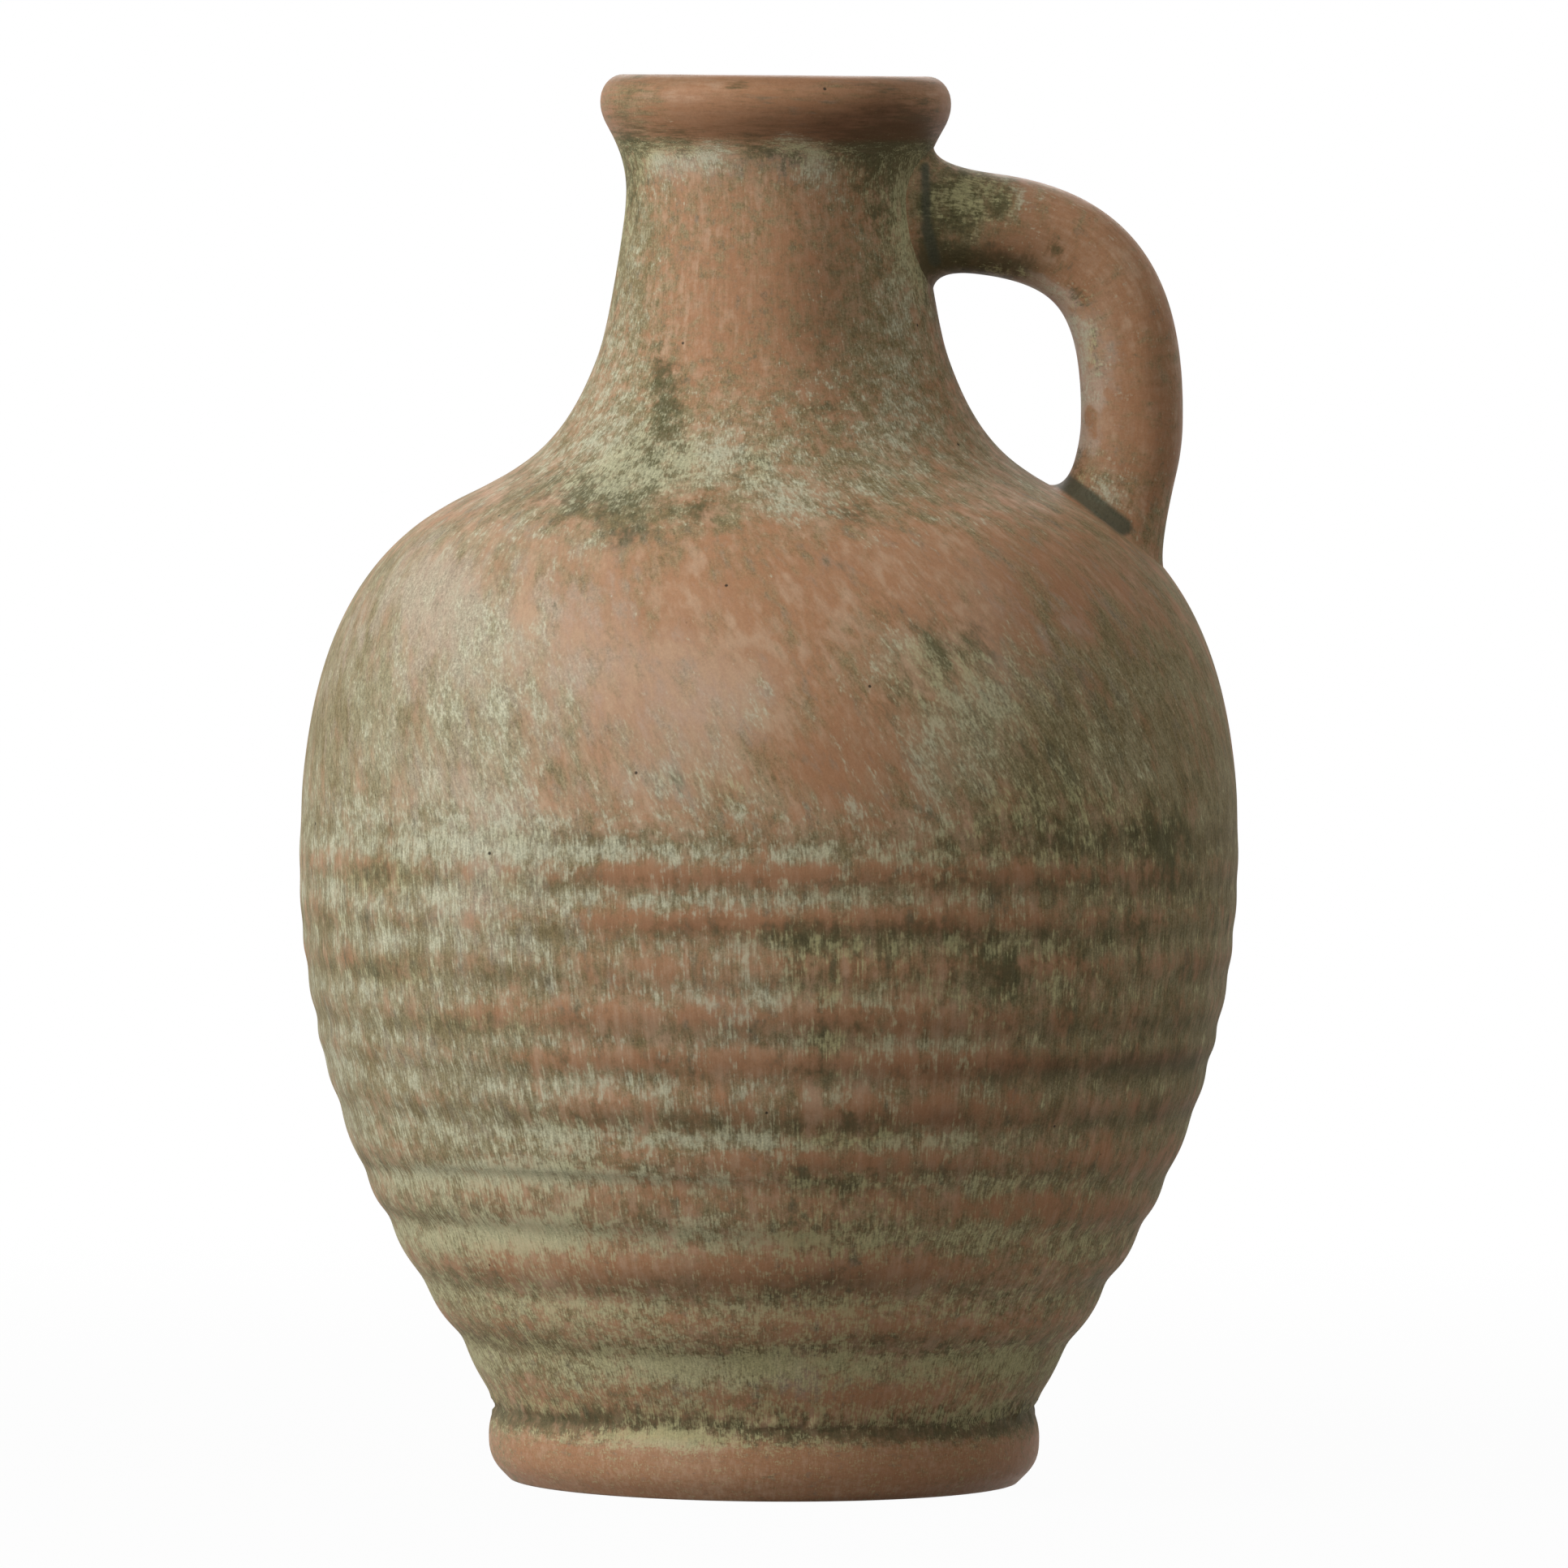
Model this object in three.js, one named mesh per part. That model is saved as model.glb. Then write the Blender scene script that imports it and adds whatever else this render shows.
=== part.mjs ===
// A wheel-thrown terracotta jug: ringed belly, flared neck, rolled rim and one pulled strap handle.
// Millimetres, +Z up. The jug stands on z = 0, turns about the Z axis, and its handle points to +X.
// It is laid up as a potter does it: the body in thrown sections set one on the other, and the strap
// luted to the neck and the shoulder with a collar of soft clay at each end.
import * as THREE from 'three';

// Clay
const WALL = 6; // wall of the body, square to its outer face
const FLOOR = 7; // floor of the jug above the recess under the foot
const JOINT_GAP = 0.3; // slip line between a handle collar and the wall

// Foot
const FOOT_HEIGHT = 14.5; // resting face up to the groove over the roll
const FOOT_RADIUS = 55; // widest part of the roll
const FOOT_ROLL_HEIGHT = 8; // height of that widest part
const FOOT_TUCK = 4.2; // how far the roll tucks in to the resting ring
const FOOT_RING_WIDTH = 6; // flat resting ring
const FOOT_RECESS = 2.5; // hollow turned under the foot
const FOOT_RECESS_BEVEL = 1.5; // slope from the ring up into the hollow
const FLOOR_FILLET = 10; // sweep of the floor into the wall
const GROOVE_DEPTH = 1.3; // groove over the roll, below the roll's widest part

// Belly, with the rings left by the potter's fingers listed from the foot upwards
const BELLY_RADIUS = 93.7;
const RIB_PITCHES = [13.2, 12.1, 11.9, 9.7, 13.4, 9.7, 7.4, 10.3, 8.1, 10.3, 9.4];
const LOWER_RINGS = 5; // rings on the section next to the foot
const RIB_DEPTH_LOW = 1.2; // grooves between the rings next to the foot
const RIB_DEPTH_HIGH = 0.2; // grooves between the rings next to the shoulder
const GIRTH_DROP = 5; // widest part of the belly below the top groove

// Shoulder and neck
const SHOULDER_HEIGHT = 68; // top groove to the collar where the neck starts
const SHOULDER_CAP = 28; // upper of the shoulder's two sections, below the collar
const COLLAR_RADIUS = 56.9;
const COLLAR_SLOPE = 28.8; // degrees from level
const THROAT_HEIGHT = 28; // collar to the end of the neck's flare
const THROAT_FLARE = 4.8; // flare left there, outside the neck's waist
const THROAT_SLOPE = 17.9; // degrees from upright
const NECK_HEIGHT = 30.5; // end of the flare to the waist
const NECK_RADIUS = 29.6; // waist

// Rim
const RIM_FLARE_HEIGHT = 11; // waist to the seam under the rolled lip
const RIM_FLARE = 2.7; // spread of the wall at that seam
const RIM_SLOPE = 27; // degrees from upright at that seam
const RIM_HEIGHT = 12.5; // seam to the top
const RIM_OVERHANG = 2.6; // lip outside the seam
const RIM_CROWN_DROP = 5.3; // widest part of the lip below the top
const RIM_INNER_DROP = 4; // rounding of the lip's inner edge

// Handle
const HANDLE_THICKNESS = 20.3; // across the strap, in the plane of the loop
const HANDLE_WIDTH = 24; // across the strap, square to that plane
const HANDLE_SETBACK = 12; // strap's outer face inside the belly's girth
const HANDLE_ROOT_DROP = 28.5; // strap's centre at the neck, below the top
const HANDLE_BEND_RISE = 20.7; // outermost point of the loop above its landing
const HANDLE_TUCK = 2.7; // how far the strap's foot comes back in from that point
const UPPER_COLLAR_LENGTH = 12; // neck wall to the strap's upper end
const LOWER_COLLAR_RISE = 5.5; // shoulder to the strap's lower end, at the inner face
const UPPER_COLLAR_SPREAD = { outer: 5, inner: 6, side: 3 };
const LOWER_COLLAR_SPREAD = { outer: 2.6, inner: 6, side: 2.5 };

// Forms of the curves, as shares of the span that each one crosses
const BELLY_EASE = [0.095, 0.57];
const SHOULDER_EASE = [0.723, 0.134];
const FLARE_EASE = [0.262, 0.558];
const NECK_EASE = [0.148, 0.209];
const RIM_FLARE_EASE = [0.35, 0.35];
const LIP_EASE = [0.4, 0.4];
const FOOT_EASE = [0.35, 0.5];
const LOOP_SQUARENESS = 0.75;
const LANDING_EASE = 0.45;
const CROWN_SHARE = 0.42; // top of the lip, from its bore to its widest part
const STRAP_SQUARENESS = 2.5; // exponent of the strap's rounded section
const FOOT_ROLL_START = 46; // degrees from level where the roll leaves the resting ring
const GROOVE_LEAN = 112; // direction of the roll where it runs into the groove
const QUARTER = 0.5523; // handle length that makes a cubic curve a quarter of an ellipse

// Fineness of the facets, as steps along each curve
const TURN_SEGMENTS = 48;
const FOOT_STEPS = { roll: 5, groove: 3, floor: 4 };
const RIB_STEPS = 4;
const BELLY_STEPS = { inner: 5 };
const SHOULDER_STEPS = { outer: 5, inner: 4 };
const FLARE_STEPS = { outer: 6, inner: 4 };
const NECK_STEPS = { outer: 9, inner: 4 };
const RIM_STEPS = { lip: 4, crown: 5, innerEdge: 4 };
const STRAP_SIDES = 24;
const STRAP_STEPS = 18;
const COLLAR_STEPS = 5;
const SEAT_STEPS = 3;

// Fineness of the searches along a curve
const SEAT_SAMPLES = 300;
const LANDING_STEP = 0.5;
const HALVINGS = 40;

// Heights that follow from the sizes above
const topGrooveHeight = grooveHeight(RIB_PITCHES.length);
const girthHeight = topGrooveHeight - GIRTH_DROP;
const collarHeight = topGrooveHeight + SHOULDER_HEIGHT;
const throatHeight = collarHeight + THROAT_HEIGHT;
const waistHeight = throatHeight + NECK_HEIGHT;
const rimSeamHeight = waistHeight + RIM_FLARE_HEIGHT;
const topHeight = rimSeamHeight + RIM_HEIGHT;
const grooveRadius = FOOT_RADIUS - GROOVE_DEPTH;
const rimSeamRadius = NECK_RADIUS + RIM_FLARE;
const rimRadius = rimSeamRadius + RIM_OVERHANG;

const radians = THREE.MathUtils.degToRad;
const lerp = THREE.MathUtils.lerp;
const point = (radius, height) => new THREE.Vector2(radius, height);
const UPRIGHT = 90;

// The height of the groove over a number of rings, counted from the foot.
function grooveHeight(rings) {
  return RIB_PITCHES.slice(0, rings).reduce((sum, pitch) => sum + pitch, FOOT_HEIGHT);
}

// A curve that leaves one point and reaches the next along given directions, in degrees from level.
function ease(start, end, leave, arrive, [leaveShare, arriveShare]) {
  const span = start.distanceTo(end);
  const along = (angle, share) => point(Math.cos(radians(angle)), Math.sin(radians(angle)))
    .multiplyScalar(share * span);
  const first = start.clone().add(along(leave, leaveShare));
  const last = end.clone().sub(along(arrive, arriveShare));
  return new THREE.CubicBezierCurve(start, first, last, end);
}

// A quarter of an ellipse that leaves its start upright and reaches its end level.
function quarterRound(start, end) {
  const first = point(start.x, lerp(start.y, end.y, QUARTER));
  const last = point(lerp(end.x, start.x, QUARTER), end.y);
  return new THREE.CubicBezierCurve(start, first, last, end);
}

// The outline of the wall from the foot's groove to the seam under the lip. On the belly it follows
// the crests of the rings.
function wallOutline() {
  const foot = point(grooveRadius + RIB_DEPTH_LOW, FOOT_HEIGHT);
  const girth = point(BELLY_RADIUS, girthHeight);
  const collar = point(COLLAR_RADIUS, collarHeight);
  const throat = point(NECK_RADIUS + THROAT_FLARE, throatHeight);
  const waist = point(NECK_RADIUS, waistHeight);
  const rimSeam = point(rimSeamRadius, rimSeamHeight);
  const collarLean = 180 - COLLAR_SLOPE;
  const throatLean = UPRIGHT + THROAT_SLOPE;
  const outline = new THREE.CurvePath();
  outline.add(ease(foot, girth, UPRIGHT, UPRIGHT, BELLY_EASE));
  outline.add(ease(girth, collar, UPRIGHT, collarLean, SHOULDER_EASE));
  outline.add(ease(collar, throat, collarLean, throatLean, FLARE_EASE));
  outline.add(ease(throat, waist, throatLean, UPRIGHT, NECK_EASE));
  outline.add(ease(waist, rimSeam, UPRIGHT, UPRIGHT - RIM_SLOPE, RIM_FLARE_EASE));
  return outline;
}

const wall = wallOutline();

// A point on the wall's outline, moved inwards by a distance square to it.
function wallPoint(share, inset = 0) {
  const tangent = wall.getTangent(share);
  return wall.getPoint(share).add(point(-tangent.y, tangent.x).multiplyScalar(inset));
}

// The last value, between one that passes a test and one that fails it, at which it still passes.
function lastWhere(test, passing, failing) {
  let [near, far] = [passing, failing];
  for (let i = 0; i < HALVINGS; i += 1) {
    const middle = (near + far) / 2;
    if (test(middle)) near = middle;
    else far = middle;
  }
  return near;
}

// The share of the outline at which it passes a height.
function shareAtHeight(height) {
  return lastWhere((share) => wall.getPoint(share).y < height, 0, 1);
}

// Points of the wall between two shares of the outline, both ends included.
function wallStretch(from, to, steps, inset = 0) {
  return Array.from({ length: steps + 1 }, (_, i) => wallPoint(lerp(from, to, i / steps), inset));
}

// The depth of a groove between the belly's rings at a height.
function grooveDepth(height) {
  const rise = (height - FOOT_HEIGHT) / (topGrooveHeight - FOOT_HEIGHT);
  return lerp(RIB_DEPTH_LOW, RIB_DEPTH_HIGH, rise);
}

// A seam on which one section of the body stands on another, cut square through the wall.
function seamAt(height, depth = 0) {
  const share = shareAtHeight(height);
  return { share, outer: wallPoint(share, depth), inner: wallPoint(share, WALL) };
}

const ringHeight = grooveHeight(LOWER_RINGS);
const footSeam = { share: 0, outer: point(grooveRadius, FOOT_HEIGHT), inner: wallPoint(0, WALL) };
const ringSeam = seamAt(ringHeight, grooveDepth(ringHeight));
const bellySeam = seamAt(topGrooveHeight, RIB_DEPTH_HIGH);
const capSeam = seamAt(collarHeight - SHOULDER_CAP);
const collarSeam = seamAt(collarHeight);
const throatSeam = seamAt(throatHeight);
const rimSeam = { share: 1, outer: wallPoint(1), inner: wallPoint(1, WALL) };

// A solid turned from a profile that runs up its outer face and back down its inner one.
function turned(profile) {
  const geometry = new THREE.LatheGeometry(profile, TURN_SEGMENTS);
  return geometry.rotateX(Math.PI / 2);
}

// A section of the wall between two seams, with the points of its outer face between them.
function section(lower, upper, outerFace, innerSteps) {
  const innerFace = wallStretch(upper.share, lower.share, innerSteps, WALL).slice(1, -1);
  return turned([
    lower.outer, ...outerFace, upper.outer, upper.inner, ...innerFace, lower.inner, lower.outer,
  ]);
}

function foot() {
  const restOuter = point(FOOT_RADIUS - FOOT_TUCK, 0);
  const restInner = point(restOuter.x - FOOT_RING_WIDTH, 0);
  const hollow = point(restInner.x - FOOT_RECESS_BEVEL, FOOT_RECESS);
  const widest = point(FOOT_RADIUS, FOOT_ROLL_HEIGHT);
  const floorHeight = FOOT_RECESS + FLOOR;
  const floorEdge = point(footSeam.inner.x - FLOOR_FILLET, floorHeight);
  return turned([
    point(0, FOOT_RECESS),
    hollow,
    restInner,
    ...ease(restOuter, widest, FOOT_ROLL_START, UPRIGHT, FOOT_EASE).getPoints(FOOT_STEPS.roll),
    ...ease(widest, footSeam.outer, UPRIGHT, GROOVE_LEAN, FOOT_EASE).getPoints(FOOT_STEPS.groove).slice(1),
    ...quarterRound(footSeam.inner, floorEdge).getPoints(FOOT_STEPS.floor),
    point(0, floorHeight),
  ]);
}

// A section of the belly: a row of convex rings with a sharp groove between one and the next.
function ringed(lower, upper, firstRing, lastRing) {
  const face = [];
  for (let ring = firstRing; ring < lastRing; ring += 1) {
    for (let step = 0; step < RIB_STEPS; step += 1) {
      const height = grooveHeight(ring) + (RIB_PITCHES[ring] * step) / RIB_STEPS;
      const hollow = 1 - Math.sin((Math.PI * step) / RIB_STEPS);
      face.push(wallPoint(shareAtHeight(height), grooveDepth(height) * hollow));
    }
  }
  return section(lower, upper, face.slice(1), BELLY_STEPS.inner);
}

// A smooth section of the shoulder or the neck.
function smooth(lower, upper, steps) {
  const face = wallStretch(lower.share, upper.share, steps.outer).slice(1, -1);
  return section(lower, upper, face, steps.inner);
}

function rim() {
  const bore = rimSeam.inner.x;
  const widest = point(rimRadius, topHeight - RIM_CROWN_DROP);
  const crown = point(lerp(bore, rimRadius, CROWN_SHARE), topHeight);
  const innerEdge = point(bore, topHeight - RIM_INNER_DROP);
  return turned([
    ...ease(rimSeam.outer, widest, UPRIGHT - RIM_SLOPE, UPRIGHT, LIP_EASE).getPoints(RIM_STEPS.lip),
    ...quarterRound(widest, crown).getPoints(RIM_STEPS.crown).slice(1),
    ...quarterRound(innerEdge, crown).getPoints(RIM_STEPS.innerEdge).reverse().slice(1),
    rimSeam.inner,
    rimSeam.outer,
  ]);
}

// The face that the handle's clay is pressed against: the wall, stood off by the slip line.
const seatOutline = wallStretch(0, 1, SEAT_SAMPLES, -JOINT_GAP);

function seatRadius(height) {
  const next = seatOutline.findIndex((seat) => seat.y >= height);
  if (next < 0) return seatOutline.at(-1).x;
  if (next === 0) return seatOutline[0].x;
  const [below, above] = [seatOutline[next - 1], seatOutline[next]];
  return lerp(below.x, above.x, (height - below.y) / (above.y - below.y));
}

// Where a straight line from a point outside the jug first meets the seat.
function landing(start, direction) {
  const outside = (distance) => {
    const spot = start.clone().addScaledVector(direction, distance);
    return Math.hypot(spot.x, spot.y) > seatRadius(spot.z);
  };
  let far = 0;
  while (outside(far) && far < topHeight) far += LANDING_STEP;
  const distance = lastWhere(outside, Math.max(far - LANDING_STEP, 0), far);
  return start.clone().addScaledVector(direction, distance);
}

// The centre line of the handle in the plane of the loop: level out of the neck, over and down to its
// outermost point, then back in a little to land on the shoulder.
const loopRadius = BELLY_RADIUS - HANDLE_SETBACK - HANDLE_THICKNESS / 2;
const landingRadius = loopRadius - HANDLE_TUCK;
const DOWN = new THREE.Vector3(0, 0, -1);
const dropOnShoulder = (radius) => landing(new THREE.Vector3(radius, 0, topHeight), DOWN).z;

function handleLine() {
  const rootHeight = topHeight - HANDLE_ROOT_DROP;
  const root = point(seatRadius(rootHeight), rootHeight);
  const foot = point(landingRadius, dropOnShoulder(landingRadius));
  const bend = point(loopRadius, foot.y + HANDLE_BEND_RISE);
  const line = new THREE.CurvePath();
  line.add(new THREE.CubicBezierCurve(
    root,
    point(lerp(root.x, bend.x, LOOP_SQUARENESS), root.y),
    point(bend.x, lerp(bend.y, root.y, LOOP_SQUARENESS)),
    bend,
  ));
  line.add(new THREE.CubicBezierCurve(
    bend,
    point(bend.x, lerp(bend.y, foot.y, LANDING_EASE)),
    point(foot.x, lerp(foot.y, bend.y, LANDING_EASE)),
    foot,
  ));
  return line;
}

const line = handleLine();
const strapStart = UPPER_COLLAR_LENGTH / line.getLength();
const strapEnd = shareOfStrapEnd();

// The strap stops where its inner face is still clear of the shoulder by the collar's rise.
function shareOfStrapEnd() {
  const innerLanding = dropOnShoulder(landingRadius - HANDLE_THICKNESS / 2);
  const height = innerLanding + LOWER_COLLAR_RISE;
  return lastWhere((share) => line.getPoint(share).y > height, 0, 1);
}

const inLoopPlane = (flat) => new THREE.Vector3(flat.x, 0, flat.y);
const ACROSS = new THREE.Vector3(0, 1, 0);

// The strap's section at a share of its line: a rounded, slightly squared ring of points, spread
// outwards by given amounts on its outer, inner and side faces.
function strapRing(share, spread = { outer: 0, inner: 0, side: 0 }) {
  const centre = inLoopPlane(line.getPoint(share));
  const tangent = line.getTangent(share);
  const outwards = new THREE.Vector3(-tangent.y, 0, tangent.x);
  const rounded = (value) => Math.sign(value) * Math.abs(value) ** (2 / STRAP_SQUARENESS);
  return Array.from({ length: STRAP_SIDES }, (_, side) => {
    const angle = (2 * Math.PI * side) / STRAP_SIDES;
    const through = rounded(Math.cos(angle));
    const aside = rounded(Math.sin(angle));
    const halfThickness = HANDLE_THICKNESS / 2 + (through > 0 ? spread.outer : spread.inner);
    const halfWidth = HANDLE_WIDTH / 2 + spread.side;
    return centre.clone()
      .addScaledVector(outwards, through * halfThickness)
      .addScaledVector(ACROSS, aside * halfWidth);
  });
}

// A closed skin over rings of equal count, with a point that closes each end.
function loft(startTip, rings, endTip) {
  const vertices = [startTip, ...rings.flat(), endTip];
  const sides = rings[0].length;
  const at = (ring, side) => 1 + ring * sides + (side % sides);
  const last = vertices.length - 1;
  const faces = [];
  for (let side = 0; side < sides; side += 1) {
    faces.push(0, at(0, side), at(0, side + 1));
    faces.push(last, at(rings.length - 1, side + 1), at(rings.length - 1, side));
    for (let ring = 0; ring < rings.length - 1; ring += 1) {
      faces.push(at(ring, side), at(ring + 1, side), at(ring, side + 1));
      faces.push(at(ring + 1, side), at(ring + 1, side + 1), at(ring, side + 1));
    }
  }
  const geometry = new THREE.BufferGeometry().setFromPoints(vertices);
  geometry.setIndex(faces);
  geometry.computeVertexNormals();
  return geometry;
}

function strap() {
  const shares = Array.from({ length: STRAP_STEPS + 1 }, (_, i) => (
    lerp(strapStart, strapEnd, i / STRAP_STEPS)
  ));
  const rings = shares.map((share) => strapRing(share));
  return loft(inLoopPlane(line.getPoint(strapStart)), rings, inLoopPlane(line.getPoint(strapEnd)));
}

// The rings of a collar, from the strap's end to the middle of its seat: down the flare, which leaves
// the strap in line with it and lies down along the wall, then in across the seat.
function collarRings(share, direction, spread) {
  const end = strapRing(share);
  const spreadEnd = strapRing(share, spread);
  const centre = inLoopPlane(line.getPoint(share));
  const straight = end.map((start) => landing(start, direction));
  const edge = spreadEnd.map((start) => landing(start, direction));
  const flare = Array.from({ length: COLLAR_STEPS + 1 }, (_, step) => end.map((start, side) => (
    new THREE.QuadraticBezierCurve3(start, straight[side], edge[side]).getPoint(step / COLLAR_STEPS)
  )));
  const seat = Array.from({ length: SEAT_STEPS - 1 }, (_, step) => spreadEnd.map((start) => (
    landing(start.clone().lerp(centre, (step + 1) / SEAT_STEPS), direction)
  )));
  return { rings: [...flare, ...seat], strapTip: centre, seatTip: landing(centre, direction) };
}

function upperCollar() {
  const backwards = inLoopPlane(line.getTangent(strapStart)).negate();
  const { rings, strapTip, seatTip } = collarRings(strapStart, backwards, UPPER_COLLAR_SPREAD);
  return loft(seatTip, rings.reverse(), strapTip);
}

function lowerCollar() {
  const onwards = inLoopPlane(line.getTangent(strapEnd));
  const { rings, strapTip, seatTip } = collarRings(strapEnd, onwards, LOWER_COLLAR_SPREAD);
  return loft(strapTip, rings, seatTip);
}

function clay(name, geometry, color, roughness) {
  const material = new THREE.MeshStandardMaterial({ color, roughness, metalness: 0 });
  const mesh = new THREE.Mesh(geometry, material);
  mesh.name = name;
  return mesh;
}

const jug = new THREE.Group();
jug.name = 'jug';
jug.add(
  clay('foot', foot(), 0x8a5940, 0.62),
  clay('lower_belly', ringed(footSeam, ringSeam, 0, LOWER_RINGS), 0x6f5a40, 0.78),
  clay('upper_belly', ringed(ringSeam, bellySeam, LOWER_RINGS, RIB_PITCHES.length), 0x765d44, 0.78),
  clay('lower_shoulder', smooth(bellySeam, capSeam, SHOULDER_STEPS), 0x7d6048, 0.74),
  clay('upper_shoulder', smooth(capSeam, collarSeam, SHOULDER_STEPS), 0x7d6048, 0.74),
  clay('neck_flare', smooth(collarSeam, throatSeam, FLARE_STEPS), 0x7e5f47, 0.74),
  clay('neck', smooth(throatSeam, rimSeam, NECK_STEPS), 0x7e5f47, 0.74),
  clay('rim', rim(), 0x8f5d42, 0.6),
  clay('handle', strap(), 0x945f45, 0.6),
  clay('upper_handle_collar', upperCollar(), 0x6a5c3a, 0.8),
  clay('lower_handle_collar', lowerCollar(), 0x5f5a40, 0.8),
);

export default jug;
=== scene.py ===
"""Looks of a wheel-thrown terracotta jug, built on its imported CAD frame. Metres, +Z up, handle to +X."""

import math

import bpy
import numpy as np
from mathutils import Matrix, Vector, noise


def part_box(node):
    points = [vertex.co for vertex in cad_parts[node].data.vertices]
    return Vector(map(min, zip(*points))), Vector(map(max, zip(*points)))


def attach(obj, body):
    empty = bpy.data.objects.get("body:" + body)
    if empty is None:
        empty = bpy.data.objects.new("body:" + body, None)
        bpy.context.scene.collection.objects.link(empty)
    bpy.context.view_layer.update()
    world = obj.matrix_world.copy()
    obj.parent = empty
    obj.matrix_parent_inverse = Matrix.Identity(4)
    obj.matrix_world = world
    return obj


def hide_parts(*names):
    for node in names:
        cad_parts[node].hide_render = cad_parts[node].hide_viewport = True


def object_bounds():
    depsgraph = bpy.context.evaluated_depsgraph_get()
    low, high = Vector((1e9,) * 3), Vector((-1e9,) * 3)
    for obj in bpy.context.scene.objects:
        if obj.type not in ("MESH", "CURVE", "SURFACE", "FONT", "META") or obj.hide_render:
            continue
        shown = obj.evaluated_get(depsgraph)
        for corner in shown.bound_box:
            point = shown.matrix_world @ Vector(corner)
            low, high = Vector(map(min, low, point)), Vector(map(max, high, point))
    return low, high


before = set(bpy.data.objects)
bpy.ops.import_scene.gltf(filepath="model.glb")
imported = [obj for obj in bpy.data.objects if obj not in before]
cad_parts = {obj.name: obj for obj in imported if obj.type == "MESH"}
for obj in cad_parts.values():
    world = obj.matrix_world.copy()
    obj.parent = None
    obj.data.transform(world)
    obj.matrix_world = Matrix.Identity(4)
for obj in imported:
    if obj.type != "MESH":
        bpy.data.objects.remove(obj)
cad_low, cad_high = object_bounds()

MM = 0.001

# Thrown sections of the body, from the foot upwards, the ends of the handle, and the slot of each piece
SECTIONS = [
    "foot", "lower_belly", "upper_belly", "lower_shoulder", "upper_shoulder", "neck_flare", "neck", "rim",
]
COLLARS = ("upper_handle_collar", "lower_handle_collar")
SLOTS = {
    **dict.fromkeys(SECTIONS, "aged_clay"),
    **dict.fromkeys(("foot", "rim", "handle"), "worn_clay"),
    **dict.fromkeys(COLLARS, "mossy_clay"),
}

# Fineness of the meshes
COLUMNS = 540
OUTER_STEP = 0.9 * MM
INNER_STEP = 2.4 * MM
STRAP_SIDES = 128
STRAP_RINGS = 110
COLLAR_RINGS = 36
CUT_GRAIN = 0.01 * MM
TINY = 1e-12

# Marks of the hand on the thrown wall. A noise is (span in millimetres, seed, octaves). A zone is the
# values between which something starts, or starts and ends.
RESTING_ZONE = (1 * MM, 5 * MM)
WOBBLE = 0.22 * MM
WOBBLE_NOISE = (55, 3, 2)
GROOVE_TURN = -1.5
GROOVE_WANDER = 0.55 * MM
GROOVE_UNEVENNESS = 0.28 * MM
GROOVE_SPAN = 2.0 * MM
WANDER_SPAN = 2.2 * GROOVE_SPAN
UPPER_CALM = 0.6
UPPER_CALM_ZONE = (60 * MM, 130 * MM)
WEAR_ROUNDS = 6
WEAR_MARGIN = 8
GROOVE_LIFTS = (1, 1.5, 1.5, 2.5, 3.5, 0.5, 1, 1.5, 1, 2, 1.5, 1)
LIFT_RISE = 4 * MM
LIFT_FALL = 20 * MM
FOOT_GROOVE_RISE = 0.4 * MM
FOOT_GROOVE_SPAN = 1.1 * MM
LUMP_HEIGHT = 0.7 * MM
LUMP_NOISE = (3.2, 7, 2)
LUMP_DENSITY = 1.6
INNER_RING_DEPTH = 0.45 * MM
INNER_RING_PITCH = 11 * MM
INNER_RING_ZONE = (15 * MM, 30 * MM, 255 * MM, 268 * MM)
DEPTH_SEED = 40
WANDER_SEED = 80

# A drip of slip on the right of the shoulder, in millimetres as seen from the front
DRIP_HEIGHT = 0.4 * MM
DRIP_WIDTH = 0.7
DRIP_X = 75
DRIP_TOP = 172
DRIP_BEND = 0.0012
DRIP_ZONE = (120, 128, 166, 173)

# Handle
STRAP_SQUARENESS = 2.5
COLLAR_SINK = 0.5 * MM
# How far the collars spread outside, inside and at the sides of the strap
UPPER_SPREAD = (5 * MM, 6 * MM, 3 * MM)
LOWER_SPREAD = (2.6 * MM, 6 * MM, 2.5 * MM)
LANDING_REACH = 80 * MM
LANDING_SAMPLES = 800
ROUND_UP = 1.0001

# Where the front is seen from
VIEW_DISTANCE = 3.08
VIEW_LEAN = math.tan(math.radians(0.5))


# Outline of the turned body, read from the CAD rings

def cut_edges(node):
    """Edges of a CAD node in the half plane y = 0, x > 0, as pairs of whole-number points."""
    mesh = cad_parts[node].data
    places = np.empty(len(mesh.vertices) * 3, np.float32)
    mesh.vertices.foreach_get("co", places)
    places = places.reshape(-1, 3).astype(float)
    ends = np.empty(len(mesh.edges) * 2, np.int32)
    mesh.edges.foreach_get("vertices", ends)
    flat = (np.abs(places[:, 1]) < CUT_GRAIN) & (places[:, 0] > -CUT_GRAIN)
    keys = [tuple(key) for key in np.round(places[:, [0, 2]] / CUT_GRAIN).astype(int).tolist()]
    edges = set()
    for a, b in ends.reshape(-1, 2).tolist():
        if flat[a] and flat[b] and keys[a] != keys[b]:
            edges.add(frozenset((keys[a], keys[b])))
    return edges


def walk(edges, start):
    """The points of a chain of edges, in order from one end."""
    neighbours = {}
    for edge in edges:
        a, b = tuple(edge)
        neighbours.setdefault(a, []).append(b)
        neighbours.setdefault(b, []).append(a)
    chain = [start]
    while True:
        onward = [point for point in neighbours[chain[-1]] if point not in chain]
        if not onward:
            return chain
        chain.append(onward[0])


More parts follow.
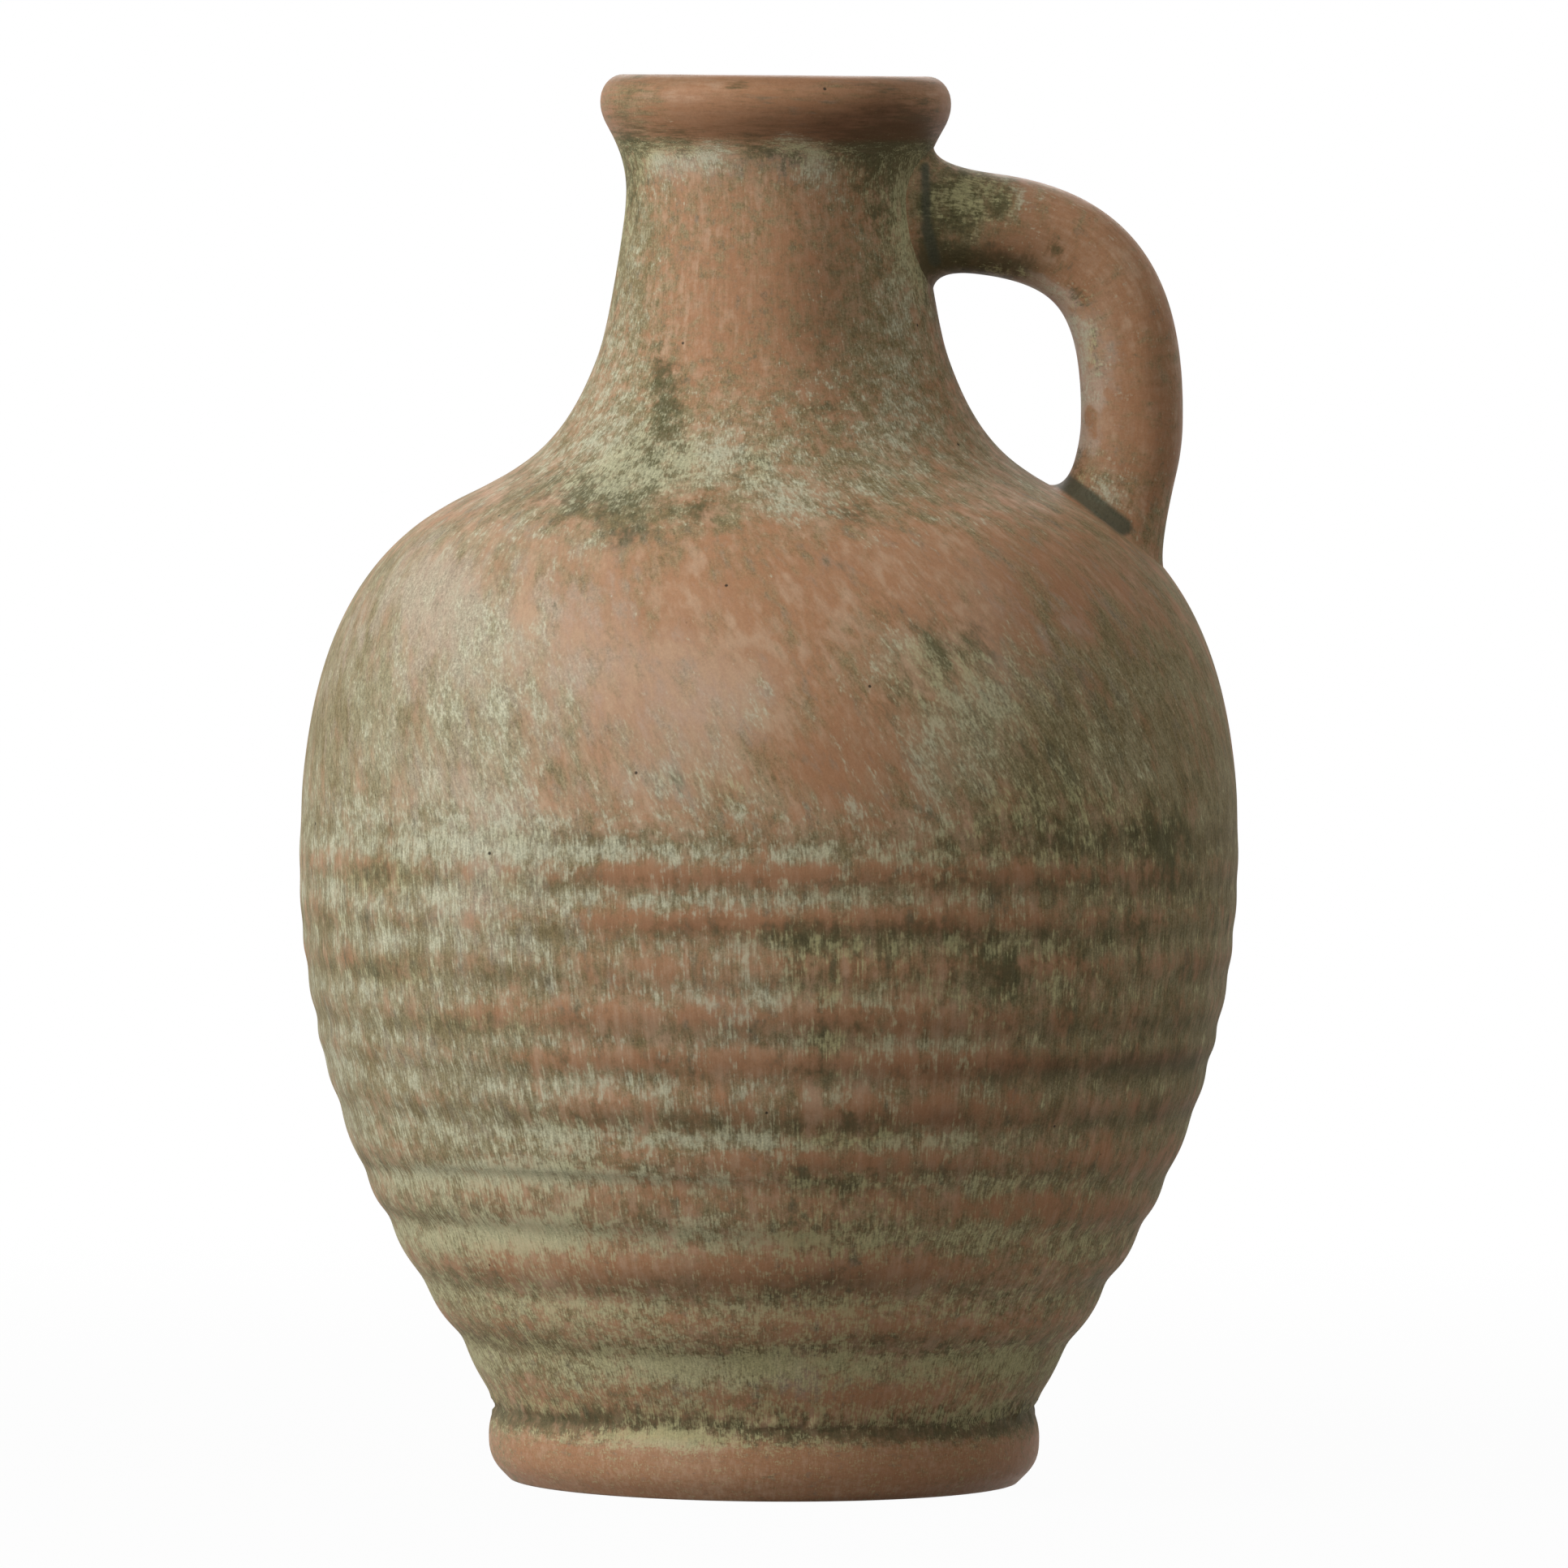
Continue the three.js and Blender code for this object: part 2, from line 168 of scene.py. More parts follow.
def body_outline():
    """Cut face of the body from the axis under the foot, up the outside and down the inside to the floor.

    Returns its points as (radius, height) and the index of each seam's outer and inner point."""
    edges = set()
    corners = {}
    for node in SECTIONS:
        found = cut_edges(node)
        corners[node] = {point for edge in found for point in edge}
        edges |= found
    seams = []
    for lower, upper in zip(SECTIONS, SECTIONS[1:]):
        inner, outer = sorted(corners[lower] & corners[upper])
        edges.discard(frozenset((inner, outer)))
        seams.append((outer, inner))
    sloped = {edge for edge in edges if len({point[1] for point in edge}) == 2}
    resting = sorted(point for point in corners["foot"] if point[1] == 0)
    ring_inner, ring_outer = resting[0], resting[-1]
    bevel = walk(sloped, ring_inner)
    wall = walk(sloped, ring_outer)
    hollow = bevel[1]
    chain = [(0, hollow[1]), hollow, ring_inner, *wall, (0, wall[-1][1])]
    index = {point: i for i, point in enumerate(chain)}
    splits = [(index[outer], index[inner]) for outer, inner in seams]
    return np.array(chain, float) * CUT_GRAIN, splits, index[ring_outer]


def turning(points):
    """Angle by which a line of points turns to the left at each of its points, in degrees."""
    steps = np.diff(points, axis=0)
    headings = np.unwrap(np.arctan2(steps[:, 1], steps[:, 0]))
    turns = np.zeros(len(points))
    turns[1:-1] = np.degrees(np.diff(headings))
    return turns


def slopes(points, sharp):
    """Directions in which a smooth line reaches and leaves each point, one-sided at sharp ones."""
    count = len(points)
    lengths = np.linalg.norm(np.diff(points, axis=0), axis=1)
    rates = np.diff(points, axis=0) / lengths[:, None]
    middle = np.zeros((count, 2))
    weights = lengths[:-1] + lengths[1:]
    middle[1:-1] = (rates[:-1] * lengths[1:, None] + rates[1:] * lengths[:-1, None]) / weights[:, None]
    ends = sharp.copy()
    ends[[0, -1]] = True
    arrive, leave = middle.copy(), middle.copy()
    for i in np.flatnonzero(ends):
        if i > 0:
            arrive[i] = rates[i - 1] if ends[i - 1] else 1.5 * rates[i - 1] - 0.5 * middle[i - 1]
        if i < count - 1:
            leave[i] = rates[i] if ends[i + 1] else 1.5 * rates[i] - 0.5 * middle[i + 1]
    return lengths, arrive, leave


def smooth_line(points, sharp, steps):
    """A smooth line through the points, with a step length for each span.

    Returns its points and the place of each given point in it."""
    lengths, arrive, leave = slopes(points, sharp)
    line = [points[0]]
    places = [0]
    for i, length in enumerate(lengths):
        parts = max(1, math.ceil(length / steps[i]))
        t = (np.arange(1, parts + 1) / parts)[:, None]
        line.extend(
            (2 * t**3 - 3 * t**2 + 1) * points[i]
            + (t**3 - 2 * t**2 + t) * length * leave[i]
            + (3 * t**2 - 2 * t**3) * points[i + 1]
            + (t**3 - t**2) * length * arrive[i + 1]
        )
        places.append(len(line) - 1)
    return np.array(line), np.array(places)


def soft_noise(points, span, seed, octaves):
    """Smooth noise between about -1 and 1, with a span in millimetres, at points in metres."""
    shift = np.array([seed * 17.3, seed * 5.1, seed * 11.7])
    scaled = np.asarray(points).reshape(-1, 3) / (span * MM) + shift
    values = [noise.fractal(place, 1.0, 2.0, octaves) for place in scaled.tolist()]
    return np.array(values).reshape(np.shape(points)[:-1])


def unit(vectors):
    """The directions of vectors."""
    return vectors / np.maximum(np.linalg.norm(vectors, axis=-1, keepdims=True), TINY)


def bell(distance, width):
    """Soft bump of height 1 at distance 0."""
    return np.exp(-0.5 * (distance / width) ** 2)


def ramp(value, start, end):
    """Smooth rise from 0 at start to 1 at end."""
    t = np.clip((value - start) / (end - start), 0, 1)
    return t * t * (3 - 2 * t)


def plateau(value, rise_start, rise_end, fall_start, fall_end):
    """Smooth rise from 0 to 1, and a fall back to 0."""
    return ramp(value, rise_start, rise_end) * (1 - ramp(value, fall_start, fall_end))


outline, seam_points, ring_edge = body_outline()
belly_top = seam_points[2][0]
foot_top = seam_points[0][0]
turns = turning(outline)
crown = int(np.argmax(outline[:, 1]))
place_in_outline = np.arange(len(outline))
on_belly = (place_in_outline >= foot_top) & (place_in_outline <= belly_top)
dips = (turns < np.roll(turns, 1)) & (turns < np.roll(turns, -1))
groove_points = np.flatnonzero(on_belly & dips & (turns < GROOVE_TURN))
sharp_points = np.zeros(len(outline), bool)
sharp_points[1 : ring_edge + 1] = True
sharp_points[groove_points] = True
on_outside = (place_in_outline[:-1] >= ring_edge) & (place_in_outline[:-1] < crown)
span_steps = np.where(on_outside, OUTER_STEP, INNER_STEP)
rows, row_of = smooth_line(outline, sharp_points, span_steps)
ROWS = len(rows)


def softened(line, first, last):
    """A stretch of a line with its sharp grooves worn round."""
    worn = line.copy()
    for _ in range(WEAR_ROUNDS):
        before, here, after = (worn[first + i : last - 1 + i] for i in range(3))
        worn[first + 1 : last] = (before + 2 * here + after) / 4
    return worn


rows = softened(rows, row_of[foot_top], row_of[belly_top] + WEAR_MARGIN)
crown_row = row_of[crown]
outer_rows = np.arange(row_of[ring_edge], crown_row + 1)
wall_heights = rows[outer_rows, 1]
wall_radii = rows[outer_rows, 0]


# The worked surface of the whole body, as one grid of rows and columns

row_along = unit(np.gradient(rows, axis=0))
row_out = np.stack([row_along[:, 1], -row_along[:, 0]], axis=1)
angles = np.arange(COLUMNS) * 2 * math.pi / COLUMNS
spread = np.stack([np.cos(angles), np.sin(angles), np.zeros(COLUMNS)], axis=1)
upward = np.array([0, 0, 1.0])


def revolve(pairs):
    """Points or directions in the cut plane, turned to every column."""
    return pairs[:, None, :1] * spread[None] + pairs[:, None, 1:] * upward


plain = revolve(rows)
outwards = revolve(row_out)
alongs = revolve(row_along)
heights = np.broadcast_to(rows[:, None, 1], plain.shape[:2])
is_outer = np.zeros(ROWS)
is_outer[outer_rows] = 1
is_outer = is_outer[:, None]
is_inner = (np.arange(ROWS) > crown_row)[:, None]
off_the_ground = ramp(heights, *RESTING_ZONE)


def front_view(points):
    """Where points appear from the front, in millimetres, on the plane of the jug's axis."""
    top = cad_high.z
    scale = VIEW_DISTANCE / (VIEW_DISTANCE + points[..., 1])
    x = points[..., 0] * scale
    z = top - (top - points[..., 2]) * scale
    return (x + (z - top / 2) * VIEW_LEAN) / MM, z / MM


front_x, front_z = front_view(plain)


def ring_noise(seed, waves=5):
    """Smooth unevenness round the jug, between about -1 and 1, one value for each column."""
    picks = np.random.default_rng(seed)
    value = np.zeros(COLUMNS)
    for wave in range(1, waves + 1):
        value += picks.normal() / wave**0.5 * np.cos(wave * angles + picks.uniform(0, 2 * math.pi))
    return value / 2


def lifted_rings():
    """How far the rings of the belly rise towards the front and sink towards the back."""
    height = rows[:, 1]
    levels = outline[groove_points, 1]
    lift = np.interp(height, levels, np.array(GROOVE_LIFTS) * MM)
    fade = plateau(height, levels[0], levels[0] + LIFT_RISE, levels[-1], levels[-1] + LIFT_FALL)
    return (lift * fade)[:, None] * is_outer * -np.sin(angles)


ring_lift = lifted_rings()


def worked_surface():
    """The body's grid with the unevenness of hand work on it."""
    relief = soft_noise(plain, *WOBBLE_NOISE) * WOBBLE * off_the_ground
    wander = ring_lift
    for number, point in enumerate(groove_points):
        height = outline[point, 1]
        near = bell(heights - height, GROOVE_SPAN) * is_outer
        fade = 1 - UPPER_CALM * ramp(height, *UPPER_CALM_ZONE)
        relief += near * GROOVE_UNEVENNESS * fade * ring_noise(DEPTH_SEED + number)
        level = bell(heights - height, WANDER_SPAN) * is_outer
        wander = wander + level * GROOVE_WANDER * ring_noise(WANDER_SEED + number)
    foot_groove = bell(heights - outline[foot_top, 1] - FOOT_GROOVE_RISE, FOOT_GROOVE_SPAN) * is_outer
    lumps = np.clip(soft_noise(plain, *LUMP_NOISE) * LUMP_DENSITY, 0, 1)
    relief += foot_groove * lumps * LUMP_HEIGHT
    drip_line = DRIP_X + DRIP_BEND * (DRIP_TOP - front_z) ** 2
    drip = bell(front_x - drip_line, DRIP_WIDTH) * plateau(front_z, *DRIP_ZONE)
    relief += drip * DRIP_HEIGHT * (plain[..., 1] < 0) * is_outer
    turn_marks = np.sin(2 * math.pi * (heights / INNER_RING_PITCH + angles / (2 * math.pi)))
    turned = is_inner * plateau(heights, *INNER_RING_ZONE)
    relief += turned * turn_marks * INNER_RING_DEPTH
    return plain + outwards * relief[..., None] + alongs * wander[..., None]


def grid_normals(grid):
    """Directions that leave the surface of a grid whose columns close on themselves."""
    round_about = np.roll(grid, -1, axis=1) - np.roll(grid, 1, axis=1)
    return unit(np.cross(round_about, np.gradient(grid, axis=0)))


body_grid = worked_surface()
body_normals = grid_normals(body_grid)
for pole, direction in ((0, -1), (ROWS - 1, 1)):
    body_normals[pole] = (0, 0, direction)


# Closed pieces cut from a grid

def put_in_scene(name, data):
    """An object made of some data, linked to the scene."""
    made = bpy.data.objects.new(name, data)
    bpy.context.scene.collection.objects.link(made)
    return made


def strip_faces(starts, sizes, a, b):
    """Faces between two rings of vertices, of which one may be a single point."""
    columns = max(sizes[a], sizes[b])
    ring = np.arange(columns)
    onward = (ring + 1) % columns
    if sizes[a] == 1:
        sides = (np.full(columns, starts[a]), starts[b] + onward, starts[b] + ring)
    elif sizes[b] == 1:
        sides = (np.full(columns, starts[b]), starts[a] + ring, starts[a] + onward)
    else:
        sides = (starts[a] + ring, starts[a] + onward, starts[b] + onward, starts[b] + ring)
    return np.stack(sides, axis=1)


def flat_normals(places, faces):
    """The normal of each triangle or quad, for faces given as an array of vertex numbers."""
    first, second, third = (places[faces[:, i]] for i in range(3))
    last = places[faces[:, -1]]
    return unit(np.cross(third - first, last - second))


def closed_piece(name, rings, normals, fields, strips):
    """A smooth closed mesh object from rings of vertices and the strips between them.

    Each strip is the numbers of its two rings and whether it has flat normals."""
    sizes = [len(ring) for ring in rings]
    starts = np.cumsum([0, *sizes])
    places, smooth = np.concatenate(rings), np.concatenate(normals)
    faces, corners = [], []
    for a, b, is_flat in strips:
        made = strip_faces(starts, sizes, a, b)
        flat = np.repeat(flat_normals(places, made), made.shape[1], axis=0)
        corners.append(flat if is_flat else smooth[made.ravel()])
        faces.extend(made.tolist())
    mesh = bpy.data.meshes.new(name)
    mesh.from_pydata(places.tolist(), [], faces)
    mesh.update()
    mesh.shade_smooth()
    mesh.normals_split_custom_set(np.concatenate(corners).tolist())
    for field, parts in fields.items():
        values = np.concatenate(parts)
        kind, key = ("FLOAT_VECTOR", "vector") if values.ndim == 2 else ("FLOAT", "value")
        attribute = mesh.attributes.new(field, kind, "POINT")
        attribute.data.foreach_set(key, values.astype(np.float32).ravel())
    return put_in_scene(name, mesh)


def body_piece(name, row_runs, closed, fields):
    """One section of the body from runs of the grid's rows; a closed one joins its last row to its first."""
    numbers = np.concatenate(row_runs).tolist()
    last = len(numbers) - 1
    breaks = np.cumsum([len(run) for run in row_runs]).tolist()
    strips = [(i, i + 1, i + 1 in breaks) for i in range(last)]
    if closed:
        strips.append((last, 0, True))

    def picked(grid):
        """The rows of a grid; those on the axis are single points."""
        return [grid[row, : 1 if row in (0, ROWS - 1) else COLUMNS] for row in numbers]

    parts = {field: picked(values) for field, values in fields.items()}
    return closed_piece(name, picked(body_grid), picked(body_normals), parts, strips)


def body_pieces(fields):
    """Every thrown section, cut from the grid at the CAD seams."""
    outer = [0, *(row_of[point] for point, _ in seam_points)]
    inner = [ROWS - 1, *(row_of[point] for _, point in seam_points)]
    pieces = {}
    for number, name in enumerate(SECTIONS):
        above = number + 1
        if above < len(SECTIONS):
            outside = np.arange(outer[number], outer[above] + 1)
            runs = [outside, np.arange(inner[above], inner[number] + 1)]
        else:
            runs = [np.arange(outer[number], inner[number] + 1)]
        pieces[name] = body_piece(name + "_clay", runs, number > 0, fields)
    return pieces


# Handle and its collars, as one grid of rings from the neck to the shoulder

def strap_lines():
    """Outer and inner edge of the strap in the plane of its loop, from its upper end down."""
    edges = cut_edges("handle")
    corners = {point for edge in edges for point in edge}
    for collar in reversed(COLLARS):
        shared = corners & {point for edge in cut_edges(collar) for point in edge}
        inner, tip, outer = sorted(shared)
        edges = {edge for edge in edges if tip not in edge}
    return [np.array(walk(edges, start), float) * CUT_GRAIN for start in (outer, inner)]


def landings(starts, direction):
    """Where straight lines from points outside the jug first meet its wall, a little inside it."""
    reach = np.linspace(0, LANDING_REACH, LANDING_SAMPLES)
    path = starts[:, None, :] + reach[None, :, None] * direction
    radius = np.hypot(path[..., 0], path[..., 1]) + COLLAR_SINK
    clear = radius - np.interp(path[..., 2], wall_heights, wall_radii)
    first = np.argmax(clear < 0, axis=1)
    picked = np.arange(len(starts))
    before, after = clear[picked, first - 1], clear[picked, first]
    distance = reach[first - 1] + (reach[1] - reach[0]) * before / (before - after)
    return starts + distance[:, None] * direction


def section_ring(outer, inner, half_width, spread=(0, 0, 0)):
    """Rounded section of the strap between its outer and inner edge, spread outwards where asked."""
    centre = (outer + inner) / 2
    through = (outer - inner) / 2
    depth = np.linalg.norm(through)
    through = through / depth
    turn = np.arange(STRAP_SIDES) * 2 * math.pi / STRAP_SIDES
    power = 2 / STRAP_SQUARENESS
    across = np.sign(np.cos(turn)) * np.abs(np.cos(turn)) ** power
    aside = np.sign(np.sin(turn)) * np.abs(np.sin(turn)) ** power
    reach = depth + np.where(across > 0, spread[0], spread[1])
    flat = centre + (across * reach)[:, None] * through
    return np.stack([flat[:, 0], aside * (half_width + spread[2]), flat[:, 1]], axis=1)


def collar_rings(outer, inner, half_width, direction, spread):
    """Rings from the strap's end down a flare that lies down along the wall."""
    end = section_ring(outer, inner, half_width)
    straight = landings(end, direction)
    edge = landings(section_ring(outer, inner, half_width, spread), direction)
    shares = np.linspace(0, 1, COLLAR_RINGS + 1)[1:]
    return [(1 - t) ** 2 * end + 2 * t * (1 - t) * straight + t**2 * edge for t in shares]


def handle_grid():
    """Rings of the whole handle, and the numbers of the rings at which the strap starts and ends."""
    outer_points, inner_points = strap_lines()
    half_width = (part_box("handle")[1].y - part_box("handle")[0].y) / 2
    none_sharp = np.zeros(len(outer_points), bool)
    parts = math.ceil(STRAP_RINGS / (len(outer_points) - 1))

    def finer(points):
        """A smooth line with the same number of parts in each span."""
        lengths = np.linalg.norm(np.diff(points, axis=0), axis=1)
        return smooth_line(points, none_sharp, lengths / parts * ROUND_UP)[0]

    outer_line, inner_line = finer(outer_points), finer(inner_points)
    strap = [section_ring(o, i, half_width) for o, i in zip(outer_line, inner_line)]
    middle = (outer_line + inner_line) / 2

    def heading(a, b):
        """Direction from one point of the strap's middle line to another."""
        step = unit(middle[b] - middle[a])
        return np.array([step[0], 0, step[1]])

    upper = collar_rings(outer_line[0], inner_line[0], half_width, heading(1, 0), UPPER_SPREAD)
    lower = collar_rings(outer_line[-1], inner_line[-1], half_width, heading(-2, -1), LOWER_SPREAD)
    rings = np.array([*upper[::-1], *strap, *lower])
    return rings, len(upper), len(upper) + len(strap) - 1


handle_rings, strap_top, strap_bottom = handle_grid()
handle_normals = -grid_normals(handle_rings)


def handle_piece(name, first, last, fields):
    """A stretch of the handle between two rings, closed at both ends by a cap."""
    def picked(grid):
        """The rings of a grid, and a middle point for each end."""
        part = grid[first : last + 1]
        return [*part, part[0].mean(axis=0, keepdims=True), part[-1].mean(axis=0, keepdims=True)]

    final = last - first
    strips = [(ring + 1, ring, False) for ring in range(final)]
    strips += [(0, final + 1, True), (final + 2, final, True)]
    parts = {field: picked(values) for field, values in fields.items()}
    return closed_piece(name, picked(handle_rings), picked(handle_normals), parts, strips)


def handle_pieces(fields):
    """The strap and its two collars."""
    last = len(handle_rings) - 1
    spans = {
        "upper_handle_collar": (0, strap_top),
        "handle": (strap_top, strap_bottom),
        "lower_handle_collar": (strap_bottom, last),
    }
    return {name: handle_piece(name + "_clay", *span, fields) for name, span in spans.items()}


# Painting, as fields over the surface. Places are millimetres as seen from the front: x to the right of
# the axis, z above the floor. Each dab is (x, z, half width, half height, percent).

# Brush strokes: the radii on which their pattern is laid out, and their slant
BELLY_RADIUS = 84
NECK_RADIUS = 46
RIM_RADIUS = 16
LEAST_RADIUS = 20
SHOULDER_SLANT = 0.42
BELLY_SLANT = 0.05
SLANTED_STROKE_ZONE = (126, 145, 196, 212)
NECK_NARROWING = (120, 240)
RIM_NARROWING = (264, 271)
# How much shorter than on the belly they are in each zone of height, below 0 longer, and on the handle
STROKE_SHORTENING = {
    (-2, -1, 10, 15): 4,
    (10, 15, 30, 75): 1.2,
    (134, 146, 184, 194): -0.73,
    (195, 220, 262, 270): 1.4,
    (262, 270, 290, 291): 4,
}
HANDLE_SHORTENING = 1.4

# Bands between the grooves: middle, width, strength, unevenness and seed. The middle of a groove's own
# band is in millimetres above it; the others are shares of the way down to the next groove.
# The groove's own band lies on the underside of the rib above it and is darkened with painted shade and dark
# moss.
GROOVE_BAND = (0.8, 2, 0.7, 0.5, 120)
BRUSHED_BAND = (0.26, 0.18, 0.7, 0.6, 160)
BARE_BAND = (0.68, 0.2, 0.75, 0.6, 200)
BAND_EDGE = (128, 136)

# Zones of height on the body
LIP_ZONE = (277, 279)
RIM_ZONE = (266, 269)
FOOT_ZONE = (8.5, 12.5)
LOW_ZONE = (30, 85)
RIGHT_LOW_ZONE = (40, 90)
GROOVE_FADE_ZONE = (50, 90)
RING_ZONE = (126, 142)
SMOOTH_ZONE = (136, 146, 186, 194)
SHOULDER_ZONE = (178, 200)
GREY_FLECK_ZONE = (135, 145, 225, 240)

BODY_NOISE = {
    "big": (34, 11, 3),
    "dark_noise": (20, 12, 3),
    "pale_noise": (26, 13, 3),
    "haze_noise": (30, 14, 3),
    "groove_noise": (9, 15, 2),
    "flank_noise": (22, 16, 3),
    "line_noise": (5, 17, 2),
    "patch_noise": (13, 18, 2),
}
HANDLE_NOISE = {"big": (24, 21, 3), "wear_noise": (5, 23, 2)}

# How much of each paint the named places of the body and of the handle have. A field of 0.5 covers half
# of a place. Flecks start from the field of the pale paint.
BODY_PAINTS = {
    # Red under the rim deepens the painted shade there to red-brown.
    "red": {"all": 0.22, "bare": 0.65, "big": 0.25, "rubbed": 0.5, "right": 0.2, "under_rim": 0.7},
    "wash": {
        "all": 0.46, "big": 0.3, "flanks": 0.4, "low_right": -0.15, "brushed": 0.35,
        "above_foot": 0.35, "bare": -0.5, "low_bare": -0.2, "rubbed": -0.6, "hidden": 0.1,
    },
    "dark": {
        "all": -0.25, "smooth": -0.14, "groove": 0.35, "above_foot": 0.1, "low": -0.06, "low_brushed": 0.12,
        "foot_groove": 0.85, "dark_noise": 0.14,
    },
    "pale": {
        "all": 0.05, "ringed": 0.1, "brushed": 0.4, "calm_bare": -0.2, "low_calm_bare": -0.2,
        "left": 0.26, "right": -0.27, "low": 0.1, "pale_noise": 0.15, "above_foot": 0.18,
        "rubbed": -0.45, "groove": -0.2, "foot_line": -0.9, "hidden": -0.1,
    },
    "fleck": {
        "pale": 1, "all": -0.21, "ringed": 0.15, "left": -0.25, "smooth": -0.15, "low": 0.1,
        "low_brushed": 0.25, "foot_groove": 0.42, "hidden": -0.1,
    },
    "haze": {"all": -0.1, "haze_noise": 0.2, "left": 0.12, "right": -0.15, "hidden": -0.2},
    # The shade field paints shade on the ribs' undersides just above each groove, under the rim's roll and on
    # the lip's top; it also lays the dark line and band along the groove above the foot, and its dabs.
    "shade": {"lined_groove": 1, "foot_groove": 0.25, "foot_line": 1, "under_rim": 0.5, "lip": 0.4},
}
HANDLE_PAINTS = {
    "red": {"all": 0.5, "big": -0.2},
    "wash": {"all": 0.05, "big": 0.25},
    "dark": {"all": -0.3, "big": 0.1},
    "pale": {"all": -0.25, "worn_face": 0.3},
    "fleck": {"pale": 1, "all": -0.11, "worn_face": 0.45},
    "haze": {"all": -0.15, "worn_face": 2.2},
    "shade": {},
}
BODY_DAB_GAINS = {"dark": 1.3, "pale": 1.3}
HANDLE_DAB_GAINS = {"dark": 1.2, "pale": 1.6}
BODY_RUB = 0.85
STRAP_HALF_DEPTH = 10.1
STRAP_END_RINGS = 6

